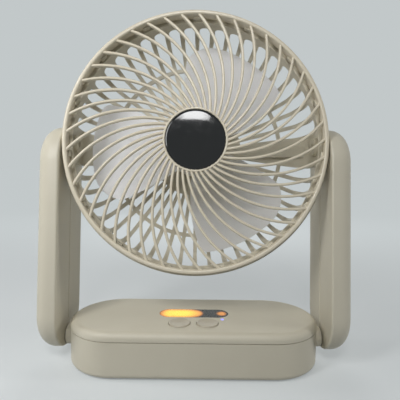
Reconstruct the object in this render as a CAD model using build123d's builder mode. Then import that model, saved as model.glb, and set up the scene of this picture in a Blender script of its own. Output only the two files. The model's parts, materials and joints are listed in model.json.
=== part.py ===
from build123d import *
import os
from math import asin, cos, degrees, radians, sin, sqrt

# A folding desk fan: a pill-shaped base, two arms hinged on its ends and a round head between their tops.
# Millimetres. +Z is up, the fan blows towards -Y, and the table is the plane Z = 0.

# Fits and gaps
seat_fit = 0.02  # radial gap of a pin fixed in its own body
running_fit = 0.05  # radial gap of a shaft that turns
slip_fit = 0.15  # gap round a piece that is pushed in by hand
body_gap = 0.3  # least gap between bodies that move past each other

# Layout
hinge_height = 17.0
hinge_reach = 144.0
arm_lean = 6.0  # degrees that the arms lean back at rest
head_tilt = 1.7  # degrees that the head faces up from square to the arms
arm_gap = 4.3

# Base
base_width = 182.6
base_depth = 72.2
base_top = 33.2
base_wall = 2.2
lid_edge_radius = 4.5
tub_edge_radius = 3.5
seam_height = 26.9
seam_gap = 0.5
lip_depth = 2.3
lip_wall = 1.4

# Rubber feet
foot_radius = 7.0
foot_height = 1.0
foot_sink = 0.6
foot_edge = 0.35
foot_inset_x = 36.0
foot_inset_y = 15.0

# Screws that hold the lid down
screw_radius = 1.4
screw_head_radius = 2.7
screw_head_height = 1.8
screw_length = 20.0
screw_inset = 21.0
column_radius = 4.0
column_height = 9.0
column_gap = 4.9
screw_clearance = 0.15

# Display window and the display behind it
window_length = 52.0
window_width = 16.0
window_thickness = 1.2
window_to_buttons = 18.7
window_ledge = 2.0
window_recess = 0.1
display_margin = 0.8
display_gap = 0.3

# Buttons and the charge light
button_radius = 7.75
button_spacing = 19.85
button_inset = 18.9
button_flange = 0.9
button_flange_height = 1.1
button_rise = 0.8
button_dish = 0.7
button_rim = 0.9
button_travel = 0.5
stem_radius = 2.0
stem_length = 0.3
light_radius = 1.2
light_to_button_x = 11.0
light_to_button_y = 7.2

# Control board
board_end_gap = 4.0
board_side_gap = 5.4
board_thickness = 1.6
board_drop = 4.0
board_post_radius = 2.6
board_post_inset_x = 8.0
board_post_inset_y = 7.0
board_screw_radius = 0.9
board_screw_head_radius = 1.8
board_screw_head_height = 1.2
board_screw_length = 5.0
switch_side = 6.0
switch_height = 1.0
plunger_radius = 1.6

# Battery
cell_radius = 9.2
cell_end_gap = 1.0
cell_side_gap = 2.0
tray_wall = 1.6
tray_floor = 1.4
tray_height = 9.0
tray_end_gap = 0.95

# Charging socket
socket_width = 9.0
socket_height = 3.2
socket_wall = 0.3
socket_length = 7.4
socket_set_back = 0.3
tongue_width = 6.6
tongue_thickness = 0.7
charge_board_length = 30.0
charge_board_gap = 2.2
charge_board_lift = 5.2
charge_post_radius = 2.6
charge_post_spacing = 22.0

# Hinges
axle_radius = 4.5
axle_bore_radius = 2.6
hinge_boss_radius = 7.25
base_boss_inset = 9.0
head_boss_inset = 4.0
axle_flange_radius = 6.6
axle_flange_thickness = 1.2
washer_thickness = 0.5
clip_shoulder = 0.6
clip_thickness = 0.8
groove_depth = 0.6
axle_tip = 1.2

# Arms
arm_thickness = 16.6
arm_depth = 54.5
arm_below_hinge = 8.0
arm_above_hinge = 12.4
arm_edge_radius = 12.0
arm_inner_edge = 1.5
arm_wall = 2.4
arm_boss_radius = 7.4
arm_boss_depth = 5.0
seam_groove = 0.7
arm_post_radius = 3.2
arm_post_inset = 4.4
arm_screw_low = 45.0
arm_screw_high = 105.0
arm_screw_length = 34.0

# Head
ring_wall = 3.0
ring_front = 23.9
ring_depth = 8.5
ring_round = 1.2
rim_height = 2.5
rim_depth = 6.7
rim_taper = 2.4
rim_flat_height = 62.0
head_seam = 0.3
drum_set_back = 0.3
drum_wall = 2.0
head_rear = 26.0
shoulder_radius = 14.0

# Front grille
rib_count = 45
rib_width = 1.9
rib_depth = 3.4
rib_arc_radius = 78.8
rib_sweep = 43.5
rib_phase = 0.5
rib_set_back = 0.8
dome_rise = 1.3
hub_radius = 23.2
hub_thickness = 3.6
badge_radius = 21.6
badge_edge = 1.2
badge_crown = 0.6
tab_count = 4
tab_start = 45.0
tab_width = 12.0
tab_thickness = 1.6
tab_length = 5.0

# Rear grille
slot_count = 48
slot_width = 8.4
slot_start = 1.2
outer_slot_inset = 23.5
outer_slot_straight = 8.5
outer_slot_inner_width = 6.2
slot_bridge = 3.0
inner_slot_outer_width = 5.8
inner_slot_inner_radius = 37.0
inner_slot_inner_width = 2.2
duct_width = 9.0
duct_height = 3.4
duct_wall = 1.5
duct_start = 20.0

# Motor
shaft_radius = 1.5
bearing_radius = 4.0
bearing_width = 3.0
tube_wall = 1.9
tube_front = -4.5
stator_radius = 15.6
stator_hub_radius = 8.0
stator_front = -6.5
stator_thickness = 7.0
tooth_count = 9
tooth_width = 3.0
shoe_depth = 1.6
shoe_angle = 30.0
coil_thickness = 1.3
coil_height = 2.0
coil_gap = 0.1
air_gap = 0.6
magnet_thickness = 2.0
magnet_length = 9.0
yoke_thickness = 1.2
yoke_length = 16.0
driver_radius = 14.6
driver_thickness = 1.2
driver_drop = 3.0
driver_post_count = 3
driver_post_radius = 1.8
driver_post_circle = 11.8

# Impeller
blade_count = 3
blade_tip_gap = 9.5
blade_thickness = 1.8
blade_front = -3.5
blade_rear = -18.4
blade_camber = 2.6
blade_phase = 63.0
blade_root_half_chord = 24.0
blade_tip_half_chord = 52.0
blade_tip_pitch = 0.8  # rise of the tip against the root's
blade_overrun = 4.0
impeller_hub_radius = 21.6
impeller_hub_wall = 1.8
impeller_hub_front = 3.0
impeller_hub_round = 3.0
shaft_boss_radius = 4.0
shaft_boss_length = 4.4

# Outline of a blade: share of the tip's radius, and degrees from the blade's middle
trail_root_angle = 50.0
trail_bow = (0.54, 39.5)
trail_corner = (0.845, 33.5)
trail_round = (0.958, 24.5)
tip_start_angle = 14.0
tip_end_angle = -25.0
lead_round = (0.98, -28.8)
lead_corner = (0.93, -30.5)
lead_bow = (0.58, -37.5)
lead_root_angle = -41.0

# Heights in the base
tub_floor_top = foot_height + base_wall
tub_top = seam_height - seam_gap / 2
lid_bottom = seam_height + seam_gap / 2
lid_under = base_top - base_wall
button_top = base_top + button_rise
board_top = lid_under - board_drop
board_bottom = board_top - board_thickness
plunger_top = lid_under - body_gap - button_flange_height - stem_length - button_travel - body_gap
cell_axis_z = tub_floor_top + tray_floor + cell_radius + slip_fit
charge_board_z = tub_floor_top + charge_board_lift
socket_z = charge_board_z + board_thickness + socket_height / 2
column_top = tub_floor_top + column_height

# Places across the hinges, measured from the middle plane
arm_inner = base_width / 2 + arm_gap
hinge_face = arm_inner - body_gap - washer_thickness
base_boss_inner = base_width / 2 - base_boss_inset
arm_boss_end = arm_inner + arm_boss_depth
clip_start = arm_boss_end + body_gap
clip_radius = axle_radius + clip_shoulder
axle_end = clip_start + clip_thickness + axle_tip
head_height = hinge_height + hinge_reach
arm_bottom = hinge_height - arm_below_hinge
arm_top = head_height + arm_above_hinge
arm_screw_heights = (hinge_height + arm_screw_low, hinge_height + arm_screw_high)

# Places in the base: the screw columns stand inside the hinge bosses, and the cells lie between the columns
foot_spread_x = base_width - 2 * foot_inset_x
foot_spread_y = base_depth - 2 * foot_inset_y
screw_x = base_boss_inner - axle_flange_thickness - column_gap - column_radius
screw_spread_x = 2 * screw_x
screw_spread_y = base_depth - 2 * screw_inset
lip_outer_inset = base_wall + slip_fit
lip_inner_inset = lip_outer_inset + lip_wall
board_length = 2 * (screw_x - column_radius - board_end_gap)
board_width = base_depth - 2 * (lip_inner_inset + board_side_gap)
board_post_x = board_length - 2 * board_post_inset_x
board_post_y = board_width - 2 * board_post_inset_y
button_y = button_inset - base_depth / 2
window_y = button_y + window_to_buttons
light_x = button_spacing / 2 + light_to_button_x
light_y = button_y + light_to_button_y
cell_row_y = cell_radius + cell_side_gap / 2
tray_half_length = screw_x - column_radius - tray_end_gap
tray_half_width = cell_row_y + cell_radius + tray_wall
cell_length = tray_half_length - tray_wall - slip_fit - cell_end_gap / 2
charge_board_width = base_depth / 2 - base_wall - slip_fit - tray_half_width - charge_board_gap
charge_board_y = tray_half_width + charge_board_gap + charge_board_width / 2

# The head's own frame: its origin is on the head hinge, and its Z runs forward along the fan's axis
fan_forward = Vector(0, -cos(radians(head_tilt)), sin(radians(head_tilt)))
fan_down = Vector(0, -sin(radians(head_tilt)), -cos(radians(head_tilt)))
head_origin = Vector(0, 0, head_height)
head_plane = Plane(origin=head_origin, x_dir=(1, 0, 0), z_dir=fan_forward)
head_section = Plane(origin=head_origin, x_dir=(1, 0, 0), z_dir=fan_down)
fan_axis = Axis(head_origin, fan_forward)

# The head fits between the arms
ring_radius = hinge_face
drum_radius = hinge_face - drum_set_back
rim_radius = drum_radius + rim_height
head_boss_inner = drum_radius - head_boss_inset
outer_slot_inner_radius = drum_radius - outer_slot_inset
outer_slot_straight_radius = drum_radius - outer_slot_straight
inner_slot_outer_radius = outer_slot_inner_radius - slot_bridge
ring_back = ring_front - ring_depth
rim_front = ring_back - head_seam
rim_back = rim_front - rim_depth
drum_inner = drum_radius - drum_wall
blade_radius = drum_inner - blade_tip_gap
rear_outer = -head_rear
rear_inner = rear_outer + drum_wall
hub_front = ring_front - rib_set_back + dome_rise
hub_back = hub_front - hub_thickness
tube_radius = bearing_radius + seat_fit + tube_wall
bore_bottom = rear_inner + drum_wall
stator_back = stator_front - stator_thickness
driver_front = stator_back - driver_drop
driver_back = driver_front - driver_thickness
magnet_inner = stator_radius + air_gap
magnet_outer = magnet_inner + magnet_thickness
yoke_outer = magnet_outer + seat_fit + yoke_thickness
hub_cup_radius = yoke_outer + slip_fit
hub_floor = impeller_hub_front - impeller_hub_wall


def head_level(forward):
    """Plane square to the fan's axis, this far in front of the head hinge."""
    return head_plane.offset(forward)


def polar(radius, angle):
    """Point at a radius and an angle in degrees, anticlockwise seen from the front."""
    return (radius * cos(radians(angle)), radius * sin(radians(angle)))


def cap_arc(radius, rise, height):
    """Arc of a shallow dome in the head's section, from its rim at this height to its top on the axis."""
    dome_radius = (radius**2 + rise**2) / (2 * rise)
    half_angle = degrees(asin(radius / dome_radius))
    return CenterArc((0, height + rise - dome_radius), dome_radius, 90 - half_angle, half_angle)


# What stands on the table, and what the arms carry: built upright, and leaned back at the end
base_pieces = {}
arm_pieces = {}

# Lower half of the base, with hinge bosses at both ends
with BuildPart() as base_tub:
    with BuildSketch(Plane.XY.offset(foot_height)):
        SlotOverall(base_width, base_depth)
    extrude(amount=tub_top - foot_height)
    fillet(base_tub.faces().sort_by(Axis.Z)[0].edges(), tub_edge_radius)
    with BuildSketch(Plane.XY.offset(tub_floor_top)):
        SlotOverall(base_width - 2 * base_wall, base_depth - 2 * base_wall)
    extrude(amount=tub_top - tub_floor_top, mode=Mode.SUBTRACT)
    for side in (-1, 1):
        with BuildSketch(Plane.YZ.offset(side * base_boss_inner)):
            with Locations((0, hinge_height)):
                Circle(hinge_boss_radius)
        extrude(amount=side * (hinge_face - base_boss_inner))
    with BuildSketch(Plane.XY.offset(tub_floor_top)):
        with GridLocations(screw_spread_x, screw_spread_y, 2, 2):
            Circle(column_radius)
    extrude(amount=column_height)
    with BuildSketch(Plane.XY.offset(tub_floor_top)):
        with Locations((0, charge_board_y)):
            with GridLocations(charge_post_spacing, 0, 2, 1):
                Circle(charge_post_radius)
    extrude(amount=charge_board_lift)
    with BuildSketch(Plane.YZ.offset(-hinge_face)):
        with Locations((0, hinge_height)):
            Circle(axle_radius + seat_fit)
    extrude(amount=2 * hinge_face, mode=Mode.SUBTRACT)
    with BuildSketch(Plane.XY.offset(foot_height)):
        with GridLocations(foot_spread_x, foot_spread_y, 2, 2):
            Circle(foot_radius + slip_fit)
    extrude(amount=foot_sink, mode=Mode.SUBTRACT)
    with BuildSketch(Plane.XY.offset(foot_height)):
        with GridLocations(screw_spread_x, screw_spread_y, 2, 2):
            Circle(screw_head_radius + screw_clearance)
    extrude(amount=screw_head_height, mode=Mode.SUBTRACT)
    with BuildSketch(Plane.XY.offset(foot_height)):
        with GridLocations(screw_spread_x, screw_spread_y, 2, 2):
            Circle(screw_radius + screw_clearance)
    extrude(amount=column_top - foot_height, mode=Mode.SUBTRACT)
    with BuildSketch(Plane.XZ.offset(-base_depth / 2)):
        with Locations((0, socket_z)):
            SlotOverall(socket_width + 2 * slip_fit, socket_height + 2 * slip_fit)
    extrude(amount=2 * base_wall, mode=Mode.SUBTRACT)
base_pieces["base_tub"] = base_tub

# Upper half of the base, with a lip that locates it in the tub
with BuildPart() as base_lid:
    with BuildSketch(Plane.XY.offset(lid_bottom)):
        SlotOverall(base_width, base_depth)
    extrude(amount=base_top - lid_bottom)
    fillet(base_lid.faces().sort_by(Axis.Z)[-1].edges(), lid_edge_radius)
    with BuildSketch(Plane.XY.offset(lid_bottom)):
        SlotOverall(base_width - 2 * base_wall, base_depth - 2 * base_wall)
    extrude(amount=lid_under - lid_bottom, mode=Mode.SUBTRACT)
    with BuildSketch(Plane.XY.offset(lid_bottom)):
        SlotOverall(base_width - base_wall, base_depth - base_wall)
        SlotOverall(base_width - 2 * lip_inner_inset, base_depth - 2 * lip_inner_inset, mode=Mode.SUBTRACT)
    extrude(amount=lip_wall)
    with BuildSketch(Plane.XY.offset(lid_bottom - lip_depth)):
        SlotOverall(base_width - 2 * lip_outer_inset, base_depth - 2 * lip_outer_inset)
        SlotOverall(base_width - 2 * lip_inner_inset, base_depth - 2 * lip_inner_inset, mode=Mode.SUBTRACT)
    extrude(amount=lip_depth)
    with BuildSketch(Plane.XY.offset(column_top)):
        with GridLocations(screw_spread_x, screw_spread_y, 2, 2):
            Circle(column_radius)
            Circle(screw_radius + seat_fit, mode=Mode.SUBTRACT)
    extrude(amount=lid_under - column_top)
    with BuildSketch(Plane.XY.offset(board_top)):
        with GridLocations(board_post_x, board_post_y, 2, 2):
            Circle(board_post_radius)
            Circle(board_screw_radius + seat_fit, mode=Mode.SUBTRACT)
    extrude(amount=lid_under - board_top)
    with BuildSketch(Plane.XY.offset(base_top)):
        with Locations((0, window_y)):
            SlotOverall(window_length + 2 * slip_fit, window_width + 2 * slip_fit)
    extrude(amount=-window_thickness - window_recess, mode=Mode.SUBTRACT)
    with BuildSketch(Plane.XY.offset(base_top)):
        with Locations((0, window_y)):
            SlotOverall(window_length - 2 * window_ledge, window_width - 2 * window_ledge)
        with Locations((0, button_y)):
            with GridLocations(button_spacing, 0, 2, 1):
                Circle(button_radius + body_gap)
        with Locations((light_x, light_y)):
            Circle(light_radius + seat_fit)
    extrude(amount=-base_wall, mode=Mode.SUBTRACT)
base_pieces["base_lid"] = base_lid

# Smoked window, let into the lid
with BuildPart() as display_window:
    with BuildSketch(Plane.XY.offset(base_top - window_recess)):
        with Locations((0, window_y)):
            SlotOverall(window_length, window_width)
    extrude(amount=-window_thickness)
base_pieces["display_window"] = display_window

# Lit number display, standing on the board under the window
with BuildPart() as display_module:
    display_inset = 2 * (window_ledge + display_margin)
    with BuildSketch(Plane.XY.offset(board_top)):
        with Locations((0, window_y)):
            SlotOverall(window_length - display_inset, window_width - display_inset)
    extrude(amount=base_top - window_recess - window_thickness - display_gap - board_top)
base_pieces["display_module"] = display_module

# Light pipe of the charge light
with BuildPart() as indicator_lens:
    with BuildSketch(Plane.XY.offset(board_top)):
        with Locations((light_x, light_y)):
            Circle(light_radius)
    extrude(amount=base_top - board_top)
base_pieces["indicator_lens"] = indicator_lens

# Board under the lid
with BuildPart() as control_board:
    with BuildSketch(Plane.XY.offset(board_bottom)):
        RectangleRounded(board_length, board_width, board_post_radius)
        with GridLocations(board_post_x, board_post_y, 2, 2):
            Circle(board_screw_radius + screw_clearance, mode=Mode.SUBTRACT)
    extrude(amount=board_thickness)
base_pieces["control_board"] = control_board

# Push switches under the buttons
with BuildPart() as tact_switches:
    with BuildSketch(Plane.XY.offset(board_top)):
        with Locations((0, button_y)):
            with GridLocations(button_spacing, 0, 2, 1):
                Rectangle(switch_side, switch_side)
    extrude(amount=switch_height)
    with BuildSketch(Plane.XY.offset(board_top)):
        with Locations((0, button_y)):
            with GridLocations(button_spacing, 0, 2, 1):
                Circle(plunger_radius)
    extrude(amount=plunger_top - board_top)
base_pieces["tact_switches"] = tact_switches

# Screws that hold the board to the lid
with BuildPart() as board_screws:
    with BuildSketch(Plane.XY.offset(board_bottom)):
        with GridLocations(board_post_x, board_post_y, 2, 2):
            Circle(board_screw_head_radius)
    extrude(amount=-board_screw_head_height)
    with BuildSketch(Plane.XY.offset(board_bottom)):
        with GridLocations(board_post_x, board_post_y, 2, 2):
            Circle(board_screw_radius)
    extrude(amount=board_screw_length)
base_pieces["board_screws"] = board_screws

# Dished push buttons, held from below by a flange
for side, name in ((-1, "left"), (1, "right")):
    button_x = side * button_spacing / 2
    flange_top = lid_under - body_gap
    flange_bottom = flange_top - button_flange_height
    dish_radius = ((button_radius - button_rim) ** 2 + button_dish**2) / (2 * button_dish)
    with BuildPart() as button:
        with BuildSketch(Plane.XY.offset(flange_bottom)):
            with Locations((button_x, button_y)):
                Circle(button_radius + body_gap + button_flange)
        extrude(amount=button_flange_height)
        with BuildSketch(Plane.XY.offset(flange_top)):
            with Locations((button_x, button_y)):
                Circle(button_radius)
        extrude(amount=button_top - flange_top)
        with BuildSketch(Plane.XY.offset(flange_bottom)):
            with Locations((button_x, button_y)):
                Circle(stem_radius)
        extrude(amount=-stem_length)
        with Locations((button_x, button_y, button_top - button_dish + dish_radius)):
            Sphere(dish_radius, mode=Mode.SUBTRACT)
    base_pieces[f"{name}_button"] = button

# Trough that holds the four cells
with BuildPart() as battery_tray:
    with BuildSketch(Plane.XY.offset(tub_floor_top)):
        Rectangle(2 * tray_half_length, 2 * tray_half_width)
    extrude(amount=tray_height)
    with BuildSketch(Plane.YZ.offset(-tray_half_length + tray_wall)):
        with Locations((-cell_row_y, cell_axis_z), (cell_row_y, cell_axis_z)):
            Circle(cell_radius + slip_fit)
    extrude(amount=2 * (tray_half_length - tray_wall), mode=Mode.SUBTRACT)
base_pieces["battery_tray"] = battery_tray

# Rechargeable cells, two in line in each row
with BuildPart() as battery_cells:
    for side in (-1, 1):
        with BuildSketch(Plane.YZ.offset(side * cell_end_gap / 2)):
            with Locations((-cell_row_y, cell_axis_z), (cell_row_y, cell_axis_z)):
                Circle(cell_radius)
        extrude(amount=side * cell_length)
base_pieces["battery_cells"] = battery_cells

# Small board that carries the charging socket
with BuildPart() as charge_board:
    with BuildSketch(Plane.XY.offset(charge_board_z)):
        with Locations((0, charge_board_y)):
            Rectangle(charge_board_length, charge_board_width)
    extrude(amount=board_thickness)
base_pieces["charge_board"] = charge_board

# Charging socket: a folded shell round a contact tongue
with BuildPart() as charging_socket:
    with BuildSketch(Plane.XZ.offset(socket_set_back - base_depth / 2)):
        with Locations((0, socket_z)):
            SlotOverall(socket_width, socket_height)
            SlotOverall(socket_width - 2 * socket_wall, socket_height - 2 * socket_wall, mode=Mode.SUBTRACT)
    extrude(amount=socket_length)
    with BuildSketch(Plane.XZ.offset(socket_set_back + socket_length - base_depth / 2)):
        with Locations((0, socket_z)):
            SlotOverall(socket_width, socket_height)
    extrude(amount=socket_wall)
    with BuildSketch(Plane.XZ.offset(2 * socket_set_back - base_depth / 2)):
        with Locations((0, socket_z)):
            Rectangle(tongue_width, tongue_thickness)
    extrude(amount=socket_length)
base_pieces["charging_socket"] = charging_socket

# Feet, let into the underside
with BuildPart() as rubber_feet:
    with BuildSketch():
        with GridLocations(foot_spread_x, foot_spread_y, 2, 2):
            Circle(foot_radius)
    extrude(amount=foot_height + foot_sink)
    fillet(rubber_feet.faces().group_by(Axis.Z)[0].edges(), foot_edge)
base_pieces["rubber_feet"] = rubber_feet

# Screws that hold the two halves of the base together
with BuildPart() as base_screws:
    with BuildSketch(Plane.XY.offset(foot_height + screw_clearance)):
        with GridLocations(screw_spread_x, screw_spread_y, 2, 2):
            Circle(screw_head_radius)
    extrude(amount=screw_head_height - screw_clearance)
    with BuildSketch(Plane.XY.offset(foot_height + screw_head_height)):
        with GridLocations(screw_spread_x, screw_spread_y, 2, 2):
            Circle(screw_radius)
    extrude(amount=screw_length)
base_pieces["base_screws"] = base_screws

# Hollow hinge axles: fixed in the base or in the head, turning in the arms, with a groove for a clip
for hinge, height, boss_inner, group in (
    ("base", hinge_height, base_boss_inner, base_pieces),
    ("head", head_height, head_boss_inner, arm_pieces),
):
    for side, name in ((-1, "left"), (1, "right")):
        with BuildPart() as axle:
            with BuildSketch(Plane.YZ.offset(side * boss_inner)):
                with Locations((0, height)):
                    Circle(axle_radius)
            extrude(amount=side * (axle_end - boss_inner))
            with BuildSketch(Plane.YZ.offset(side * boss_inner)):
                with Locations((0, height)):
                    Circle(axle_flange_radius)
            extrude(amount=-side * axle_flange_thickness)
            with BuildSketch(Plane.YZ.offset(side * clip_start)):
                with Locations((0, height)):
                    Circle(axle_radius)
                    Circle(axle_radius - groove_depth, mode=Mode.SUBTRACT)
            extrude(amount=side * clip_thickness, mode=Mode.SUBTRACT)
            with BuildSketch(Plane.YZ.offset(side * (boss_inner - axle_flange_thickness))):
                with Locations((0, height)):
                    Circle(axle_bore_radius)
            extrude(amount=side * (axle_end - boss_inner + axle_flange_thickness), mode=Mode.SUBTRACT)
        group[f"{name}_{hinge}_axle"] = axle

    # Friction washers between the bosses and the arms
    with BuildPart() as washers:
        for side in (-1, 1):
            with BuildSketch(Plane.YZ.offset(side * hinge_face)):
                with Locations((0, height)):
                    Circle(hinge_boss_radius)
                    Circle(axle_radius + seat_fit, mode=Mode.SUBTRACT)
            extrude(amount=side * washer_thickness)
    group[f"{hinge}_washers"] = washers

    # Clips that keep the arms on the axles
    with BuildPart() as clips:
        for side in (-1, 1):
            with BuildSketch(Plane.YZ.offset(side * clip_start)):
                with Locations((0, height)):
                    Circle(clip_radius)
                    Circle(axle_radius - groove_depth + seat_fit, mode=Mode.SUBTRACT)
                    with Locations((0, clip_radius)):
                        Rectangle(2 * (axle_radius - groove_depth), 2 * clip_radius, mode=Mode.SUBTRACT)
            extrude(amount=side * clip_thickness)
    group[f"{hinge}_clips"] = clips

# Arms: each is a front and a rear half that meet in the plane of the hinges
arm_profile_length = arm_top - arm_bottom - arm_depth
arm_middle = (arm_top + arm_bottom) / 2
arm_screw_x = arm_inner + arm_post_inset
for side, name in ((-1, "left"), (1, "right")):
    outer_face = -1 if side > 0 else 0

    # The hollow inside one arm
    with BuildPart() as arm_cavity:
        with BuildSketch(Plane.YZ.offset(side * (arm_inner + arm_wall))):
            with Locations((0, arm_middle)):
                SlotCenterToCenter(arm_profile_length, arm_depth - 2 * arm_wall, rotation=90)
        extrude(amount=side * (arm_thickness - 2 * arm_wall))
        fillet(arm_cavity.faces().sort_by(Axis.X)[outer_face].edges(), arm_edge_radius - arm_wall)

    for half, keep, facing in (("front", Keep.TOP, -1), ("rear", Keep.BOTTOM, 1)):
        with BuildPart() as arm:
            with BuildSketch(Plane.YZ.offset(side * arm_inner)):
                with Locations((0, arm_middle)):
                    SlotCenterToCenter(arm_profile_length, arm_depth, rotation=90)
            extrude(amount=side * arm_thickness)
            fillet(arm.faces().sort_by(Axis.X)[outer_face].edges(), arm_edge_radius)
            fillet(arm.faces().sort_by(Axis.X)[-1 - outer_face].edges(), arm_inner_edge)
            add(arm_cavity.part, mode=Mode.SUBTRACT)
            with BuildSketch(Plane.YZ.offset(side * arm_inner)):
                with Locations((0, hinge_height), (0, head_height)):
                    Circle(arm_boss_radius)
            extrude(amount=side * arm_boss_depth)
            with BuildSketch(Plane.YZ.offset(side * arm_inner)):
                with Locations((0, hinge_height), (0, head_height)):
                    Circle(axle_radius + running_fit)
            extrude(amount=side * arm_boss_depth, mode=Mode.SUBTRACT)
            with BuildSketch(Plane.XZ):
                with Locations(*[(side * arm_screw_x, z) for z in arm_screw_heights]):
                    Circle(arm_post_radius)
            extrude(amount=arm_depth / 2 - arm_wall, both=True)
            with BuildSketch(Plane.XZ.offset(-arm_depth / 2)):
                with Locations(*[(side * arm_screw_x, z) for z in arm_screw_heights]):
                    Circle(screw_radius + screw_clearance)
            extrude(amount=screw_head_height + arm_screw_length, mode=Mode.SUBTRACT)
            with BuildSketch(Plane.XZ.offset(-arm_depth / 2)):
                with Locations(*[(side * arm_screw_x, z) for z in arm_screw_heights]):
                    Circle(screw_head_radius + screw_clearance)
            extrude(amount=screw_head_height, mode=Mode.SUBTRACT)
            for face_x, inward in ((arm_inner, 1), (arm_inner + arm_thickness, -1)):
                with BuildSketch(Plane.XY.offset(arm_bottom)):
                    with BuildLine():
                        Polyline(
                            (side * face_x, -seam_groove),
                            (side * (face_x + inward * seam_groove), 0),
                            (side * face_x, seam_groove),
                            close=True,
                        )
                    make_face()
                extrude(amount=arm_top - arm_bottom, mode=Mode.SUBTRACT)
            split(bisect_by=Plane.XZ, keep=keep)
        arm_pieces[f"{name}_arm_{half}"] = arm

# Screws that pull the arm halves together from behind
with BuildPart() as arm_screws:
    for side in (-1, 1):
        with BuildSketch(Plane.XZ.offset(screw_head_height - arm_depth / 2)):
            with Locations(*[(side * arm_screw_x, z) for z in arm_screw_heights]):
                Circle(screw_head_radius)
        extrude(amount=-screw_head_height + screw_clearance)
        with BuildSketch(Plane.XZ.offset(screw_head_height - arm_depth / 2)):
            with Locations(*[(side * arm_screw_x, z) for z in arm_screw_heights]):
                Circle(screw_radius)
        extrude(amount=arm_screw_length)
arm_pieces["arm_screws"] = arm_screws

# Front grille: a ring, a hub and ribs that follow a circular arc between them
rib_inner = hub_radius - ring_wall / 2
rib_outer = ring_radius - ring_wall / 2
rib_root = Vector(*polar(rib_inner, 90 - rib_phase - rib_sweep))
rib_tip = Vector(*polar(rib_outer, 90 - rib_phase))
rib_chord = rib_tip - rib_root
rib_bow = sqrt(rib_arc_radius**2 - (rib_chord.length / 2) ** 2)
rib_centre = (rib_root + rib_tip) / 2 + rib_chord.normalized().rotate(Axis.Z, 90) * rib_bow


def rib_edge(side):
    """Points at the ends and in the middle of one edge of a rib: side is -1 or 1."""
    reach = rib_arc_radius + side * rib_width / 2
    spots = (rib_root, (rib_root + rib_tip) / 2, rib_tip)
    return [rib_centre + (spot - rib_centre).normalized() * reach for spot in spots]


with BuildSketch() as rib_outline:
    with BuildLine():
        first_edge = ThreePointArc(*rib_edge(-1))
        second_edge = ThreePointArc(*rib_edge(1))
        Line(first_edge @ 0, second_edge @ 0)
        Line(first_edge @ 1, second_edge @ 1)
    make_face()

with BuildPart(head_plane) as front_grille:
    rib_front = ring_front - rib_set_back
    with BuildSketch(head_level(rib_front - rib_depth)):
        with PolarLocations(0, rib_count):
            add(rib_outline.sketch)
    extrude(amount=rib_depth + dome_rise)
    with BuildSketch(head_section):
        with BuildLine():
            Polyline(
                (rib_inner / 2, rib_front + dome_rise),
                (ring_radius, rib_front),
                (ring_radius, rib_front - rib_depth),
                (rib_inner / 2, rib_front - rib_depth + dome_rise),
                close=True,
            )
        make_face()
    revolve(axis=fan_axis, mode=Mode.INTERSECT)
    with BuildSketch(head_section):
        with Locations((ring_radius - ring_wall / 2, ring_front - ring_depth / 2)):
            RectangleRounded(ring_wall, ring_depth, ring_round)
    revolve(axis=fan_axis)
    with BuildSketch(head_level(hub_back)):
        Circle(hub_radius)
    extrude(amount=hub_thickness)
    with BuildSketch(head_level(hub_front)):
        Circle(badge_radius + slip_fit)
    extrude(amount=-badge_edge, mode=Mode.SUBTRACT)
    tab_circle = drum_inner - slip_fit - body_gap - tab_thickness / 2
    with BuildSketch(head_level(ring_back - tab_length)):
        with PolarLocations(tab_circle, tab_count, start_angle=tab_start):
            Rectangle(tab_thickness, tab_width)
    extrude(amount=tab_length + ring_depth / 2)
arm_pieces["front_grille"] = front_grille

# Plain crowned disc in the middle of the front grille
with BuildPart() as hub_badge:
    with BuildSketch(head_section):
        with BuildLine():
            badge_back = hub_front - badge_edge
            crown = cap_arc(badge_radius, badge_crown, hub_front)
            Polyline(crown @ 0, (badge_radius, badge_back), (0, badge_back), crown @ 1)
        make_face()
    revolve(axis=fan_axis)
arm_pieces["hub_badge"] = hub_badge

# One long slot of the rear grille: straight through the back and round-ended in the side wall
slot_end_radius = slot_width / 2
with BuildPart() as outer_slot:
    with BuildSketch(Plane.XY.offset(rear_outer)):
        with BuildLine():
            Polyline(
                (outer_slot_inner_radius, -outer_slot_inner_width / 2),
                (outer_slot_straight_radius, -slot_width / 2),
                (rim_radius, -slot_width / 2),
                (rim_radius, slot_width / 2),
                (outer_slot_straight_radius, slot_width / 2),
                (outer_slot_inner_radius, outer_slot_inner_width / 2),
                close=True,
            )
        make_face()
    extrude(amount=slot_start - slot_end_radius - rear_outer)
    with BuildSketch(Plane.YZ.offset(outer_slot_straight_radius)):
        with Locations((0, slot_start - slot_end_radius)):
            Circle(slot_end_radius)
    extrude(amount=rim_radius - outer_slot_straight_radius)

with BuildSketch() as inner_slot:
    with BuildLine():
        Polyline(
            (inner_slot_inner_radius, -inner_slot_inner_width / 2),
            (inner_slot_outer_radius, -inner_slot_outer_width / 2),
            (inner_slot_outer_radius, inner_slot_outer_width / 2),
            (inner_slot_inner_radius, inner_slot_inner_width / 2),
            close=True,
        )
    make_face()

# Slots straddle the upright, and the ones beside the hinges are left out
slot_pitch = 360 / slot_count
slot_angles = [slot_pitch * (i + 0.5) for i in range(slot_count)]
outer_angles = [a for a in slot_angles if abs(cos(radians(a))) < cos(radians(slot_pitch))]
inner_angles = [a for a in slot_angles if cos(radians(a)) < cos(radians(slot_pitch))]

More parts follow.
